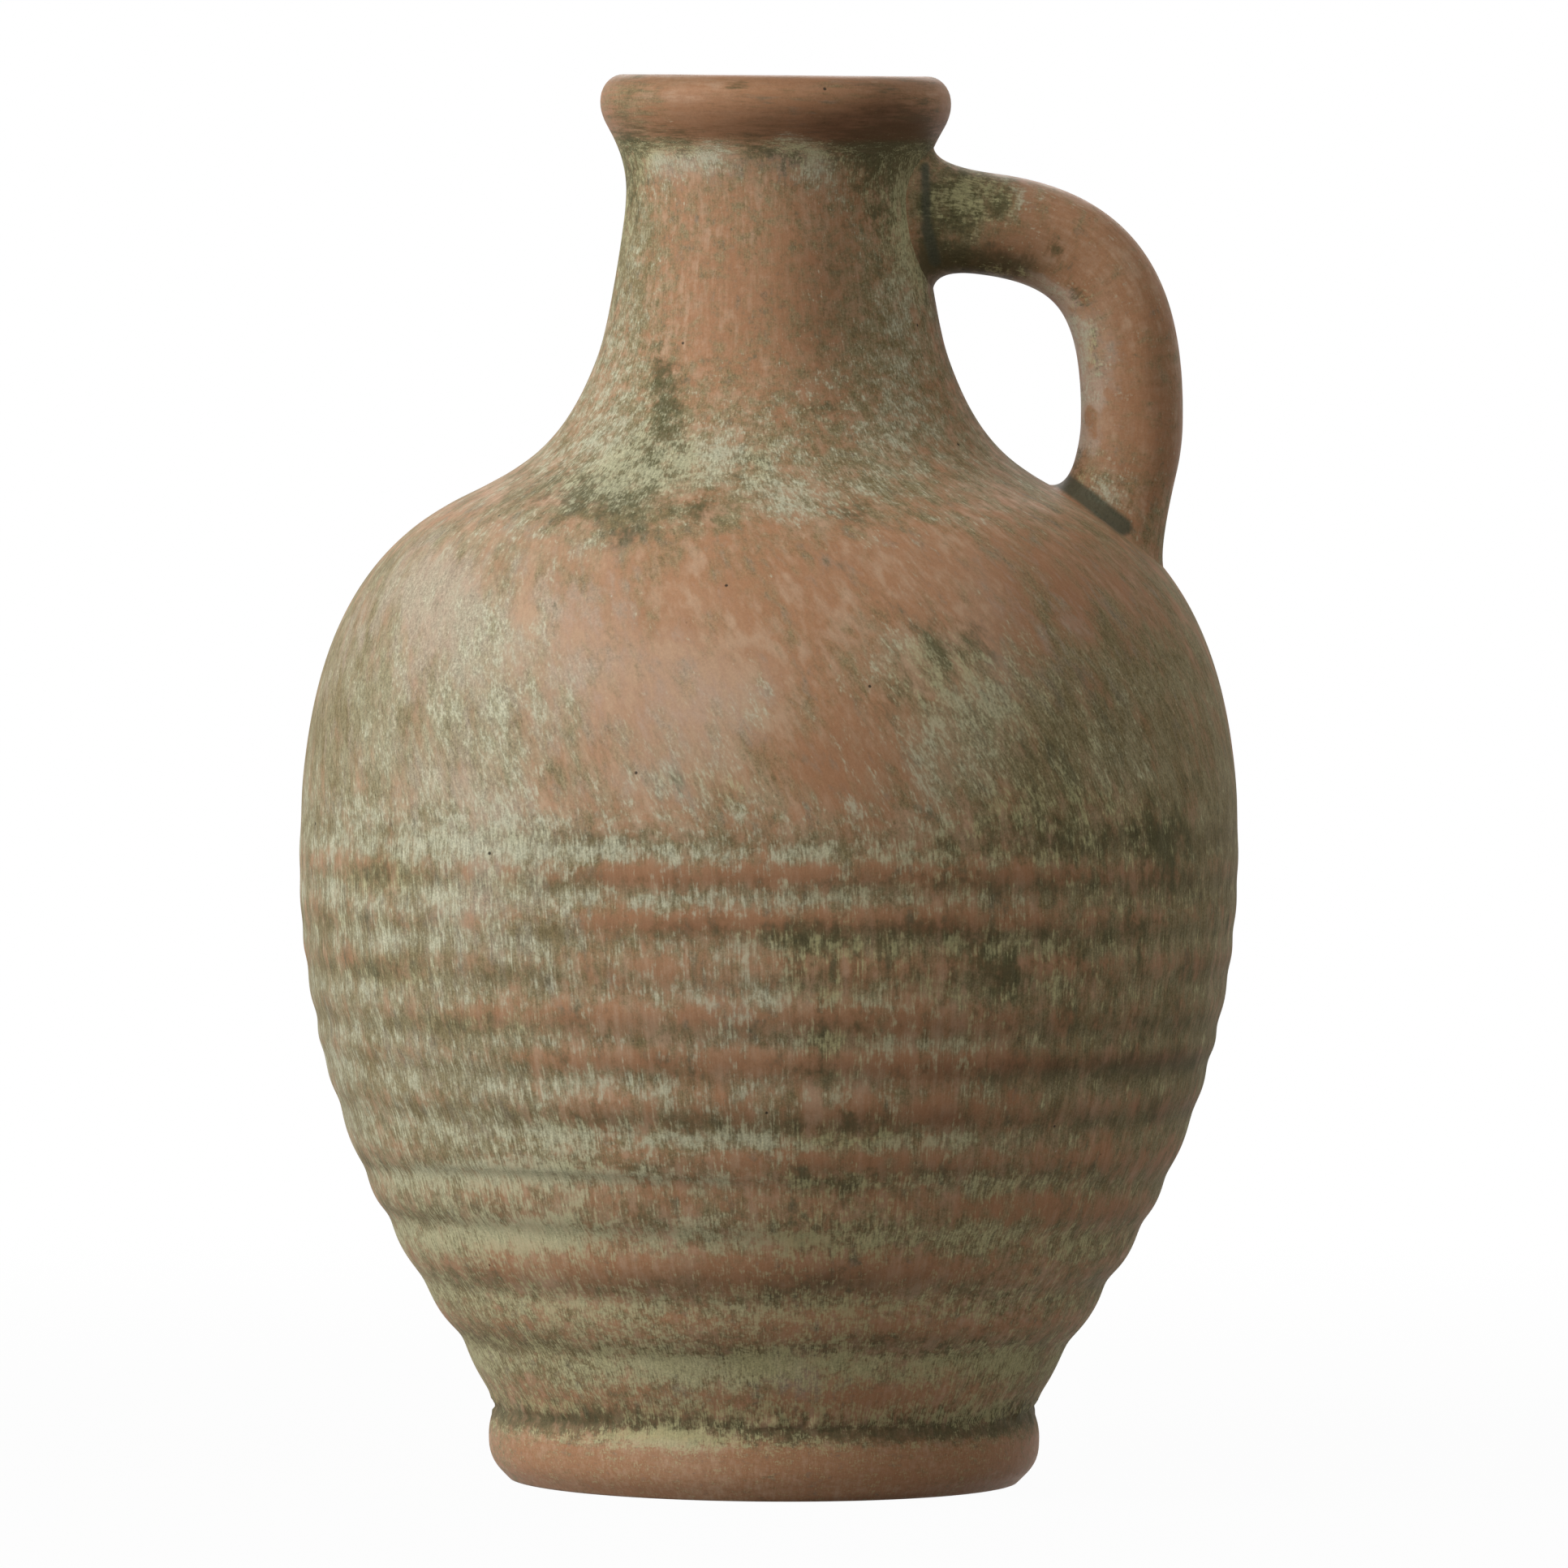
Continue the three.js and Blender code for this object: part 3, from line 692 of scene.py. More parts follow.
BODY_DABS = {
    # Shade dabs: painted shade along and under the rim's roll, a dark smudge at the rim's right end, a deeper
    # strip down the neck right of the middle, and a darker rim top on the left.
    "shade": [
        (24, 272, 4.5, 4, 80), (20, 267, 5, 3, 60), (0, 268, 30, 1.2, 30), (12, 235, 6.5, 22, 45),
        (-26, 277, 7, 4, 20), (8, 271.5, 16, 3, 30),
    ],
    "wash": [
        (-6, 238, 16, 24, -35), (-26, 235, 4, 35, 30), (24, 235, 7, 32, 40), (-28, 205, 16, 14, 35),
        (0, 200, 40, 10, 25), (56, 160, 14, 14, -27), (-8, 172, 32, 17, -45), (30, 186, 24, 6, -30),
        (-40, 186, 14, 6, -20), (18, 140, 10, 10, -50), (40, 150, 16, 14, 30), (60, 160, 8, 6, 25),
        (58, 178, 26, 8, -35), (0, 29, 12, 4, -30), (-30, 254, 4, 14, 35), (-27, 274, 6, 6, 50),
    ],
    "dark": [
        (24, 272, 4, 4, 30), (28, 266, 4, 4, 40), (-17, 266.5, 2.5, 2, 50), (5, 264, 2, 2, 50),
        (18, 267, 4, 2.5, 50), (27, 250, 3, 10, 30), (-24, 212, 9, 12, 12), (-36, 198, 10, 5, 20),
        (-14, 200, 9, 7, 15), (-7, 278, 2, 1, 60), (-2, 265.5, 3.5, 2.5, 75), (22, 262, 8, 6, 45),
        (31, 254, 1.6, 14, 90), (22, 255, 3, 12, 35), (-28, 264, 3, 5, 60), (-29, 256, 2.2, 8, 50),
        (-31, 242, 1.5, 8, 35), (27, 262, 3, 8, 40), (-22, 267, 4, 2, 40), (16, 266, 6, 2, 40),
        (-21, 218, 1.8, 5, 60), (-20, 212, 2.2, 5, 50), (-23, 205, 2.5, 4, 60), (-17, 206, 1.6, 5, 50),
        (-28, 202, 4, 3, 40), (-34, 197, 5, 3, 50), (-27, 194, 4, 2.5, 50), (-41, 195, 4, 3, 40),
        (-2, 205, 2, 4, 50), (11, 213, 3, 2.5, 50), (-12, 193, 5, 2, 40), (18, 194, 4, 2.5, 40),
        (-30, 188, 6, 2, 35), (35, 166, 6, 4, 85), (28, 158, 5, 4, 55), (46, 146, 12, 10, 35),
        (62, 146, 10, 14, 27), (-79, 119, 5, 3, 40), (-75, 100, 5, 2.5, 40), (-60, 90, 10, 2, 30),
        (78, 128, 3, 8, 50), (55, 130, 12, 4, 35), (74, 110, 10, 30, 20), (-7, 138, 4, 2.5, 45),
        (-20, 140, 6, 2, 30), (10, 107, 10, 4, 40), (42, 104, 16, 4, 40), (10, 98, 6, 4, 40),
        (46, 98, 14, 4, 40), (12, 84, 5, 4, 35), (14, 69, 8, 3, 40), (12, 57, 6, 3, 40), (14, 48, 6, 6, 35),
        (45, 35, 5, 3, 40), (30, 25, 14, 3, 30),
    ],
    "pale": [
        (-22, 263, 3, 2.5, 70), (-12, 264, 4, 2.5, 68), (4, 267, 3, 2, 65), (9, 263, 3, 3, 55),
        (14, 260, 5, 5, 35), (-4, 258, 16, 5, 12), (28, 250, 3, 10, 25), (24, 243, 3, 14, 25),
        (28, 230, 3, 16, 20), (25, 206, 6, 6, 15), (-27, 250, 3, 10, 25), (-31, 225, 4, 12, 25),
        (-10, 204, 6, 4, 50), (-25, 199, 8, 3, 45), (3, 195, 4, 4, 50), (15, 197, 6, 3, 30),
        (-34, 205, 8, 6, 35), (-44, 188, 8, 5, 25), (-55, 172, 8, 10, 25), (-56, 160, 16, 18, 15),
        (-52, 150, 10, 12, 20), (-65, 135, 14, 14, 10), (-50, 128, 6, 8, 25), (-80, 120, 12, 20, 8),
        (-8, 174, 34, 16, -30), (-4, 240, 16, 22, -35), (-12, 150, 8, 6, 30), (-3, 156, 4, 5, 30),
        (-14, 137, 10, 5, 30), (-31, 254, 2, 12, 40), (29, 256, 2.5, 10, 45), (27, 166, 5, 4, 50),
        (38, 160, 10, 8, 32), (40, 148, 16, 14, 40), (64, 144, 12, 14, 42), (-6, 204, 28, 10, 24),
        (-62, 57, 10, 3, 35), (-45, 58, 10, 3, 35), (-60, 46, 10, 3, 35), (-45, 46, 8, 4, 35),
        (-48, 35, 10, 4, 20), (-25, 34, 4, 4, 20), (-20, 23, 6, 4, 15), (13, 24, 4, 3, 20),
        (0, 112, 30, 14, 10), (-20, 10, 9, 2, 60), (-15, 8, 6, 1.5, 40), (5, 8, 4, 1, 30),
    ],
    "haze": [
        (-69, 176, 5, 5, 100), (-56, 165, 18, 18, 25), (-63, 178, 4, 4, 50), (-75, 165, 8, 5, 40),
        (-62, 168, 6, 5, 40), (-45, 175, 12, 12, 30), (-35, 158, 8, 12, 25), (-22, 138, 10, 6, 50),
        (-62, 135, 10, 6, 30), (-58, 118, 5, 14, 45), (-45, 128, 8, 8, 35), (-70, 108, 6, 6, 25),
        (-10, 153, 10, 7, 60), (56, 166, 16, 16, 45), (5, 21, 4, 4, 60), (-10, 93, 8, 8, 35),
        (-16, 263, 8, 3, 80), (6, 264, 7, 3, 70),
    ],
    "red": [
        (18, 139, 9, 8, 95), (50, 169, 6, 7, 60), (56, 158, 14, 12, 25), (62, 178, 10, 6, 35),
        (72, 168, 6, 6, 35), (-30, 121, 25, 2.5, 40), (-28, 111, 14, 3, 40), (38, 111, 10, 3, 30),
        (36, 87, 14, 7, 35), (33, 74, 16, 4, 35), (-62, 66, 12, 3, 35), (-15, 31, 22, 4, 30),
        (-22, 18, 5, 3, 40), (-4, 240, 14, 22, 35), (10, 236, 7, 26, 40),
    ],
}
BACK_DABS = {
    # Shade dabs on the back: a deeper patch on the neck, and painted shade under the rim's roll.
    "shade": [(-12, 240, 9, 24, 20), (20, 268, 10, 2, 40)],
    "wash": [(8, 236, 14, 22, -35), (14, 168, 30, 18, -45), (-30, 150, 16, 16, 30), (-10, 204, 30, 8, 25)],
    "dark": [
        (22, 208, 4, 8, 60), (28, 196, 7, 3, 60), (-14, 198, 6, 3, 50), (-34, 160, 9, 6, 45),
        (-6, 106, 14, 4, 40), (30, 98, 14, 4, 40), (10, 58, 10, 4, 40),
    ],
    "pale": [
        (12, 262, 12, 3, 50), (-20, 206, 8, 5, 45), (8, 196, 10, 3, 40), (-40, 172, 12, 9, 30),
        (16, 172, 32, 16, -25), (52, 140, 12, 14, 30), (40, 46, 14, 4, 40), (-24, 34, 12, 4, 40),
    ],
    "haze": [(-48, 176, 12, 10, 50), (30, 150, 12, 8, 35), (10, 92, 10, 8, 30)],
    "red": [(-14, 138, 12, 8, 60), (34, 182, 12, 7, 40), (6, 236, 14, 20, 35), (20, 112, 20, 4, 35)],
}
HANDLE_DABS = {
    # Painted shade under the upper end of the strap where it meets the neck, and down the strap's outer right
    # edge
    "shade": [
        (36, 241.5, 7, 2.8, 240), (46, 242.5, 5, 1.5, 140), (81, 215, 2.5, 24, 35), (76, 221, 1.5, 6, 30),
        (50, 246, 8, 3, 35),
    ],
    "wash": [(40, 256, 9, 6, 90), (36, 249, 6, 6, 50), (78, 188, 5, 9, 50), (66, 203, 5, 5, 35)],
    "dark": [
        (31.5, 252, 1.8, 10, 100), (40, 243, 9, 2.2, 110), (50, 242.5, 3, 1, 60), (42, 256, 3.5, 3, 75),
        (37, 257, 3, 4, 85), (46, 255, 2, 2, 50), (38, 250, 4, 3, 40), (62, 236, 2, 2, 50),
        (65, 226, 1.2, 4, 40), (57, 246, 1.6, 1.6, 70), (75, 220, 2, 3, 35), (62, 203, 2, 3, 50),
    ],
    "pale": [
        (45, 257, 6, 3, 45), (37, 256, 4, 4, 50), (64, 228, 1.8, 5, 45), (65, 199, 4, 2.5, 40),
        (70, 196, 3, 2, 30),
    ],
    "haze": [(67, 228, 2, 5, 45), (67, 215, 3, 10, 40), (64, 232, 2, 3, 40)],
    "red": [(47, 251, 6, 4, 40), (76, 213, 3, 7, 30)],
}
# Creases at the ends of the handle, darkened with painted shade where the joints shadow them and with the
# dark moss in them: (x, z) of both ends and the half thickness.
CREASES = [
    (31, 262, 31.3, 250, 0.9),
    (31.3, 250, 33, 243.5, 1.2),
    (57, 201, 63.5, 196.3, 1.8),
    (63.5, 196.3, 70.5, 190.8, 1.8),
]
CREASE_EDGE = 0.5
FRONT_ZONE = (-0.3, 0.15)


def facing_front(points):
    """1 on the front of the jug, 0 on its back, with a soft change at the sides."""
    radius = np.maximum(np.hypot(points[..., 0], points[..., 1]), 1 * MM)
    return ramp(-points[..., 1] / radius, *FRONT_ZONE)


def dabbed(dabs, points, behind=False):
    """The sum of soft dabs at points on the front of the jug, or on its back."""
    x, z = front_view(points)
    total = np.zeros(points.shape[:-1])
    for dab_x, dab_z, width, height, percent in dabs:
        total += percent / 100 * bell(x - dab_x, width) * bell(z - dab_z, height)
    facing = facing_front(points)
    return total * (1 - facing if behind else facing)


def creased(points):
    """1 inside the creases at the ends of the handle, where their shade and moss are painted."""
    x, z = front_view(points)
    inside = np.zeros(points.shape[:-1])
    for start_x, start_z, end_x, end_z, half in CREASES:
        run_x = end_x - start_x
        run_z = end_z - start_z
        along = ((x - start_x) * run_x + (z - start_z) * run_z) / (run_x**2 + run_z**2)
        along = np.clip(along, 0, 1)
        distance = np.hypot(x - start_x - along * run_x, z - start_z - along * run_z)
        inside = np.maximum(inside, 1 - ramp(distance, half - CREASE_EDGE, half + CREASE_EDGE))
    return inside * facing_front(points)


def stroke_places():
    """Coordinates in millimetres for brush strokes, which run along the third one."""
    height = rows[:, 1] / MM
    shorter = sum(change * plateau(height[1:], *zone) for zone, change in STROKE_SHORTENING.items())
    steps = np.linalg.norm(np.diff(rows, axis=0), axis=1) / MM
    length = np.concatenate([[0], np.cumsum(steps * (1 + shorter))])
    slant = BELLY_SLANT + (SHOULDER_SLANT - BELLY_SLANT) * plateau(height, *SLANTED_STROKE_ZONE)
    radius = np.maximum(rows[:, 0] / MM, LEAST_RADIUS)
    twist = np.cumsum(slant / radius * np.gradient(height))
    reference = BELLY_RADIUS + (NECK_RADIUS - BELLY_RADIUS) * ramp(height, *NECK_NARROWING)
    reference += (RIM_RADIUS - NECK_RADIUS) * ramp(height, *RIM_NARROWING)
    turned = angles[None] + twist[:, None]
    run = np.broadcast_to(length[:, None], turned.shape)
    across = reference[:, None]
    return np.stack([across * np.cos(turned), across * np.sin(turned), run], axis=2)


def uneven_band(distance, band, number):
    """A soft band whose strength changes round the jug."""
    middle, width, strength, unevenness, seed = band
    return bell(distance - middle, width) * (strength + unevenness * ring_noise(seed + number))


def ring_bands():
    """Bands along the rings of the belly: dark grooves with painted shade just above them, brushed tops and
    bare undersides of ribs.
    """
    height = (heights - ring_lift) / MM
    groove = brushed = bare = np.zeros(plain.shape[:2])
    levels = outline[groove_points, 1] / MM
    for number, (low, high) in enumerate(zip(levels, levels[1:])):
        down = (high - height) / (high - low)
        groove = np.maximum(groove, uneven_band(height - high, GROOVE_BAND, number))
        brushed = np.maximum(brushed, uneven_band(down, BRUSHED_BAND, number))
        bare = np.maximum(bare, uneven_band(down, BARE_BAND, number))
    belly = (1 - ramp(height, *BAND_EDGE)) * is_outer
    return groove * belly, brushed * belly, bare * belly


def body_places():
    """Named places of the body, each about 1 where it is and 0 elsewhere, and the noise over it."""
    x, z = front_x, front_z
    height = heights / MM
    at = {name: soft_noise(plain, *how) for name, how in BODY_NOISE.items()}
    front = ramp(-plain[..., 1], -20 * MM, 20 * MM)
    back = 1 - front
    ragged = 16 * at["flank_noise"]
    below = 1 - ramp(z, *SHOULDER_ZONE)
    at["all"] = 1
    at["left"] = left = ramp(ragged - x, 30, 66) * front * below
    at["right"] = right = ramp(ragged + x, 30, 70) * front * below
    at["low_right"] = right * (1 - ramp(z, *RIGHT_LOW_ZONE))
    at["flanks"] = left + right + 0.6 * back * (1 - 0.7 * bell(x - 12, 45)) * below
    at["low"] = low = 1 - ramp(z, *LOW_ZONE)
    at["ringed"] = ringed = 1 - ramp(height, *RING_ZONE)
    at["smooth"] = plateau(height, *SMOOTH_ZONE)
    at["grey_fleck"] = plateau(z, *GREY_FLECK_ZONE)
    at["hidden"] = 1 - is_outer * np.ones(plain.shape[:2])

    groove, brushed, bare = ring_bands()
    calm = 1 - 0.55 * left
    patchy = np.clip(0.9 + 0.9 * at["patch_noise"], 0, 1.5)
    facing_red = 0.45 + 0.55 * bell(x, 42) * front + 0.45 * bell(x - 12, 40) * back
    at["groove"] = groove
    fade = 1 - 0.3 * ramp(z, *GROOVE_FADE_ZONE)
    # Painted shade along the grooves, less on the left
    at["lined_groove"] = fade * groove * calm * (0.8 + 0.5 * at["groove_noise"])
    at["brushed"] = brushed * calm * patchy * (1 - 0.3 * ramp(x, 0, 50) * front)
    at["bare"] = bare * facing_red
    at["calm_bare"] = bare * calm
    for name in ("brushed", "bare", "calm_bare"):
        at["low_" + name] = low * at[name]

    right_foot = ramp(x, -20, 40) * front
    line_height = 13.3 + 2.2 * bell(x + 25, 14) * front + 0.9 * at["line_noise"]
    at["foot_groove"] = bell(height - 15, 2.4) * is_outer * (0.7 + 0.5 * right_foot)
    at["foot_line"] = bell(height - line_height, 1.3) * is_outer
    at["above_foot"] = bell(height - 24, 5) * is_outer * (1 - 0.7 * right_foot) * patchy
    # Painted shade under the rim's roll, lighter on the left
    at["under_rim"] = bell(height - 270.5, 2.5) * is_outer * (0.5 + 0.5 * ramp(x, -26, -6))
    # Painted shade on the top of the lip
    at["lip"] = ramp(height, *LIP_ZONE)
    on_foot = 1 - ramp(height, *FOOT_ZONE)
    at["rubbed"] = np.maximum(on_foot, ramp(height, *RIM_ZONE)) * is_outer
    green = 0.75 * low + 0.45 * ramp(x, -15, 30) * ringed * front + 0.35 * right
    at["green"] = green + 0.35 * bell(x - 38, 16) * bell(z - 155, 16) * front
    return at


def paint_fields(recipes, places, dabs):
    """The field of each paint: its dabs, and shares of named places, of which a finished field is one."""
    known = dict(places)
    for name, shares in recipes.items():
        known[name] = dabs.get(name, 0) + sum(share * known[place] for place, share in shares.items())
    fields = {name: known[name] for name in recipes}
    fields["shade"] = np.clip(fields["shade"], 0, 1)
    return fields


def paint_body():
    """Fields of the thrown body."""
    places = body_places()
    dabs = {}
    for name, found in BODY_DABS.items():
        total = dabbed(found, plain) + dabbed(BACK_DABS[name], plain, behind=True)
        dabs[name] = BODY_DAB_GAINS.get(name, 1) * total
    fields = paint_fields(BODY_PAINTS, places, dabs)
    moss = 0.8 * ramp(fields["dark"], -0.2, 0.4) * (1 - 0.5 * places["grey_fleck"]) + places["green"]
    return {
        **fields,
        "strokes": stroke_places(),
        "moss": np.clip(moss, 0, 1),
        "crease": creased(plain),
        "rub": BODY_RUB * places["rubbed"],
    }


def paint_handle():
    """Fields of the handle, as for the body."""
    rings = handle_rings
    middle = rings.mean(axis=1)
    offset = (rings - middle[:, None]) / MM
    along = np.concatenate([[0], np.cumsum(np.linalg.norm(np.diff(middle, axis=0), axis=1))]) / MM
    heading = unit(np.gradient(middle, axis=0))
    out = np.stack([-heading[:, 2], np.zeros(len(heading)), heading[:, 0]], axis=1)
    through = (offset * out[:, None, :]).sum(axis=2)
    run = np.broadcast_to(along[:, None] * (1 + HANDLE_SHORTENING), through.shape)
    ring = np.arange(len(rings))[:, None]
    ends = [end + side * STRAP_END_RINGS for end in (strap_top, strap_bottom) for side in (-1, 1)]
    on_strap = plateau(ring, *ends) + np.zeros(through.shape)
    places = {name: soft_noise(rings, *how) for name, how in HANDLE_NOISE.items()}
    wear = np.clip(0.6 + 0.9 * places["wear_noise"], 0, 1.4)
    places["worn_face"] = ramp(-through / STRAP_HALF_DEPTH, 0.5, 0.8) * on_strap * wear
    places["all"] = 1
    dabs = {name: HANDLE_DAB_GAINS.get(name, 1) * dabbed(found, rings) for name, found in HANDLE_DABS.items()}
    fields = paint_fields(HANDLE_PAINTS, places, dabs)
    return {
        **fields,
        "strokes": np.stack([through, offset[..., 1], run], axis=2),
        "moss": ramp(fields["dark"], -0.3, 0.2),
        "crease": creased(rings),
        "rub": 0.2 + 0.7 * on_strap,
    }


# Clay and paint, as one layered material

CLAY = (0.42, 0.225, 0.122, 1)
CLAY_DEEP = (0.33, 0.165, 0.085, 1)
CLAY_DUSTY = (0.5, 0.33, 0.215, 1)
OLIVE = (0.284, 0.261, 0.149, 1)
OLIVE_DEEP = (0.18, 0.159, 0.077, 1)
SAGE = (0.432, 0.435, 0.315, 1)
SAGE_LIGHT = (0.562, 0.57, 0.43, 1)
MOSS = (0.53, 0.505, 0.275, 1)
MOSS_VEIL = (0.35, 0.325, 0.16, 1)
GRIME = (0.08, 0.08, 0.036, 1)
HAZE = (0.55, 0.445, 0.36, 1)
SHADE = (0.095, 0.083, 0.043, 1)
# Colour of painted shade over red clay
SHADE_ON_RED = (0.115, 0.055, 0.028, 1)
# Colour of the creases at the handle's ends: painted shade of the joints, with dark moss
SLATE = (0.085, 0.088, 0.058, 1)
PIT_COLOR = (0.03, 0.025, 0.018, 1)
SPECK_COLOR = (0.62, 0.58, 0.48, 1)
PATCH_STRETCH = 1.4
BRISTLE_STRETCH = 9

# Noise patterns: scale per millimetre, detail and roughness
NOISES = {
    "big": (0.045, 6, 0.62),
    "patch": (0.22, 5.5, 0.68),
    "fine": (0.85, 3, 0.6),
    "bristle": (2.2, 2, 0.6),
    "sweep": (0.6, 2, 0.5),
    "grain": (2.6, 2, 0.6),
}
# How a paint breaks up: the shares of the patterns in it, their contrast and the softness of its edge
COVERS = {
    "red": ({"patch_c": 0.5, "sweep": 0.2, "big": 0.3}, 4, 0.5),
    "wash": ({"patch_a": 0.7, "sweep": 0.15, "fine_a": 0.15}, 4.2, 0.55),
    "haze": ({"patch_b": 0.7, "sweep": 0.3}, 3.8, 0.5),
    "dark": ({"patch_b": 0.65, "fine_b": 0.2, "sweep": 0.15}, 5.8, 0.6),
    "pale": ({"patch_c": 0.8, "bristle": 0.2}, 2.6, 0.6),
    "fleck": ({"patch_c": 0.4, "fine_c": 0.32, "bristle": 0.28}, 7.5, 0.45),
}
CLAY_TONE = {"big": 0.2, "patch_b": 0.5, "sweep": 0.3}
CLAY_TONE_RANGE = (0.4, 0.56)
OLIVE_TONE = {"patch_c": 0.6, "fine_b": 0.4}
OLIVE_TONE_RANGE = (0.4, 0.6)
SHADE_ON_RED_RANGE = (0.45, 1.0)
SHADE_LEAST = 0.35
VEIL = 0.48
VEIL_LESS_MOSS = 0.26
# Share of a full coat that hides what is under it
STRENGTHS = {
    "red": 0.8, "wash": 0.85, "haze": 0.6, "dark": 0.82, "shade": 0.85, "fleck": 0.55, "crease": 0.92,
    "pit": 0.9, "speck": 0.7,
}
# Unevenness of colour on the wash, and what of it bare clay keeps
GRIT = (0.9, 0.3)
HAIRS = (0.8, 0.22)
# Dots: scale per millimetre, radius as a share of a cell, and share of the cells that have one
PITS = (0.11, 0.05, 0.22)
SPECKS = (0.16, 0.045, 0.12)
ROUGHNESS = 0.5
ROUGHNESS_SHARES = {"patch_b": 0.25, "wash": 0.08, "rub": -0.12}
SPECULAR = 0.1
RELIEF_SHARES = {"fine_c": 0.4, "bristle": 0.4, "grain": 0.4, "pit": -1.2, "pale": 0.2}
RELIEF_STRENGTH = 0.5
RELIEF_HEIGHT = 0.12 * MM


class Nodes:
    """Short ways to add nodes to a material or world."""

    def __init__(self, tree):
        self.tree = tree

    def put(self, socket, value):
        """Links a socket to another one, or sets its value."""
        if isinstance(value, bpy.types.NodeSocket):
            self.tree.links.new(value, socket)
        else:
            socket.default_value = value

    def make(self, kind, inputs, **settings):
        node = self.tree.nodes.new("ShaderNode" + kind)
        for name, value in settings.items():
            setattr(node, name, value)
        for name, value in inputs.items():
            self.put(node.inputs[name], value)
        return node

    def math(self, operation, a, b, clamp=False):
        return self.make("Math", {0: a, 1: b}, operation=operation, use_clamp=clamp).outputs[0]

    def scaled(self, vector, factor):
        return self.make("VectorMath", {0: vector, "Scale": factor}, operation="SCALE").outputs[0]

    def mix(self, factor, a, b):
        """A colour between two others. The node's sockets 6 and 7 are its colours."""
        return self.make("Mix", {"Factor": factor, 6: a, 7: b}, data_type="RGBA").outputs[2]

    def noise(self, vector, name):
        """Node of a noise pattern around 0.5."""
        scale, detail, roughness = NOISES[name]
        inputs = {"Vector": vector, "Scale": scale, "Detail": detail, "Roughness": roughness}
        return self.make("TexNoise", inputs)

    def noises(self, vector, name):
        """Three separate noise patterns around 0.5."""
        split = self.make("SeparateColor", {0: self.noise(vector, name).outputs["Color"]})
        return {name + "_" + letter: socket for letter, socket in zip("abc", split.outputs)}

    def field(self, name, output="Fac"):
        return self.make("Attribute", {}, attribute_name=name).outputs[output]

    def between(self, value, start, end, lowest=0):
        """Smooth rise from a lowest value at start to 1 at end."""
        inputs = {"Value": value, "From Min": start, "From Max": end, "To Min": lowest}
        return self.make("MapRange", inputs, interpolation_type="SMOOTHSTEP").outputs["Result"]

    def blend(self, shares, sockets):
        """Sum of named sockets, each with its share."""
        total = None
        for name, share in shares.items():
            part = self.math("MULTIPLY", sockets[name], share)
            total = part if total is None else self.math("ADD", total, part)
        return total

    def dots(self, vector, scale, radius, share):
        """Small round dots at random places: 1 inside a dot."""
        cells = self.make("TexVoronoi", {"Vector": vector, "Scale": scale}).outputs
        inside = self.between(cells["Distance"], radius, 0.5 * radius)
        pick = self.make("SeparateColor", {0: cells["Color"]}).outputs[0]
        return self.math("MULTIPLY", inside, self.math("LESS_THAN", pick, share))


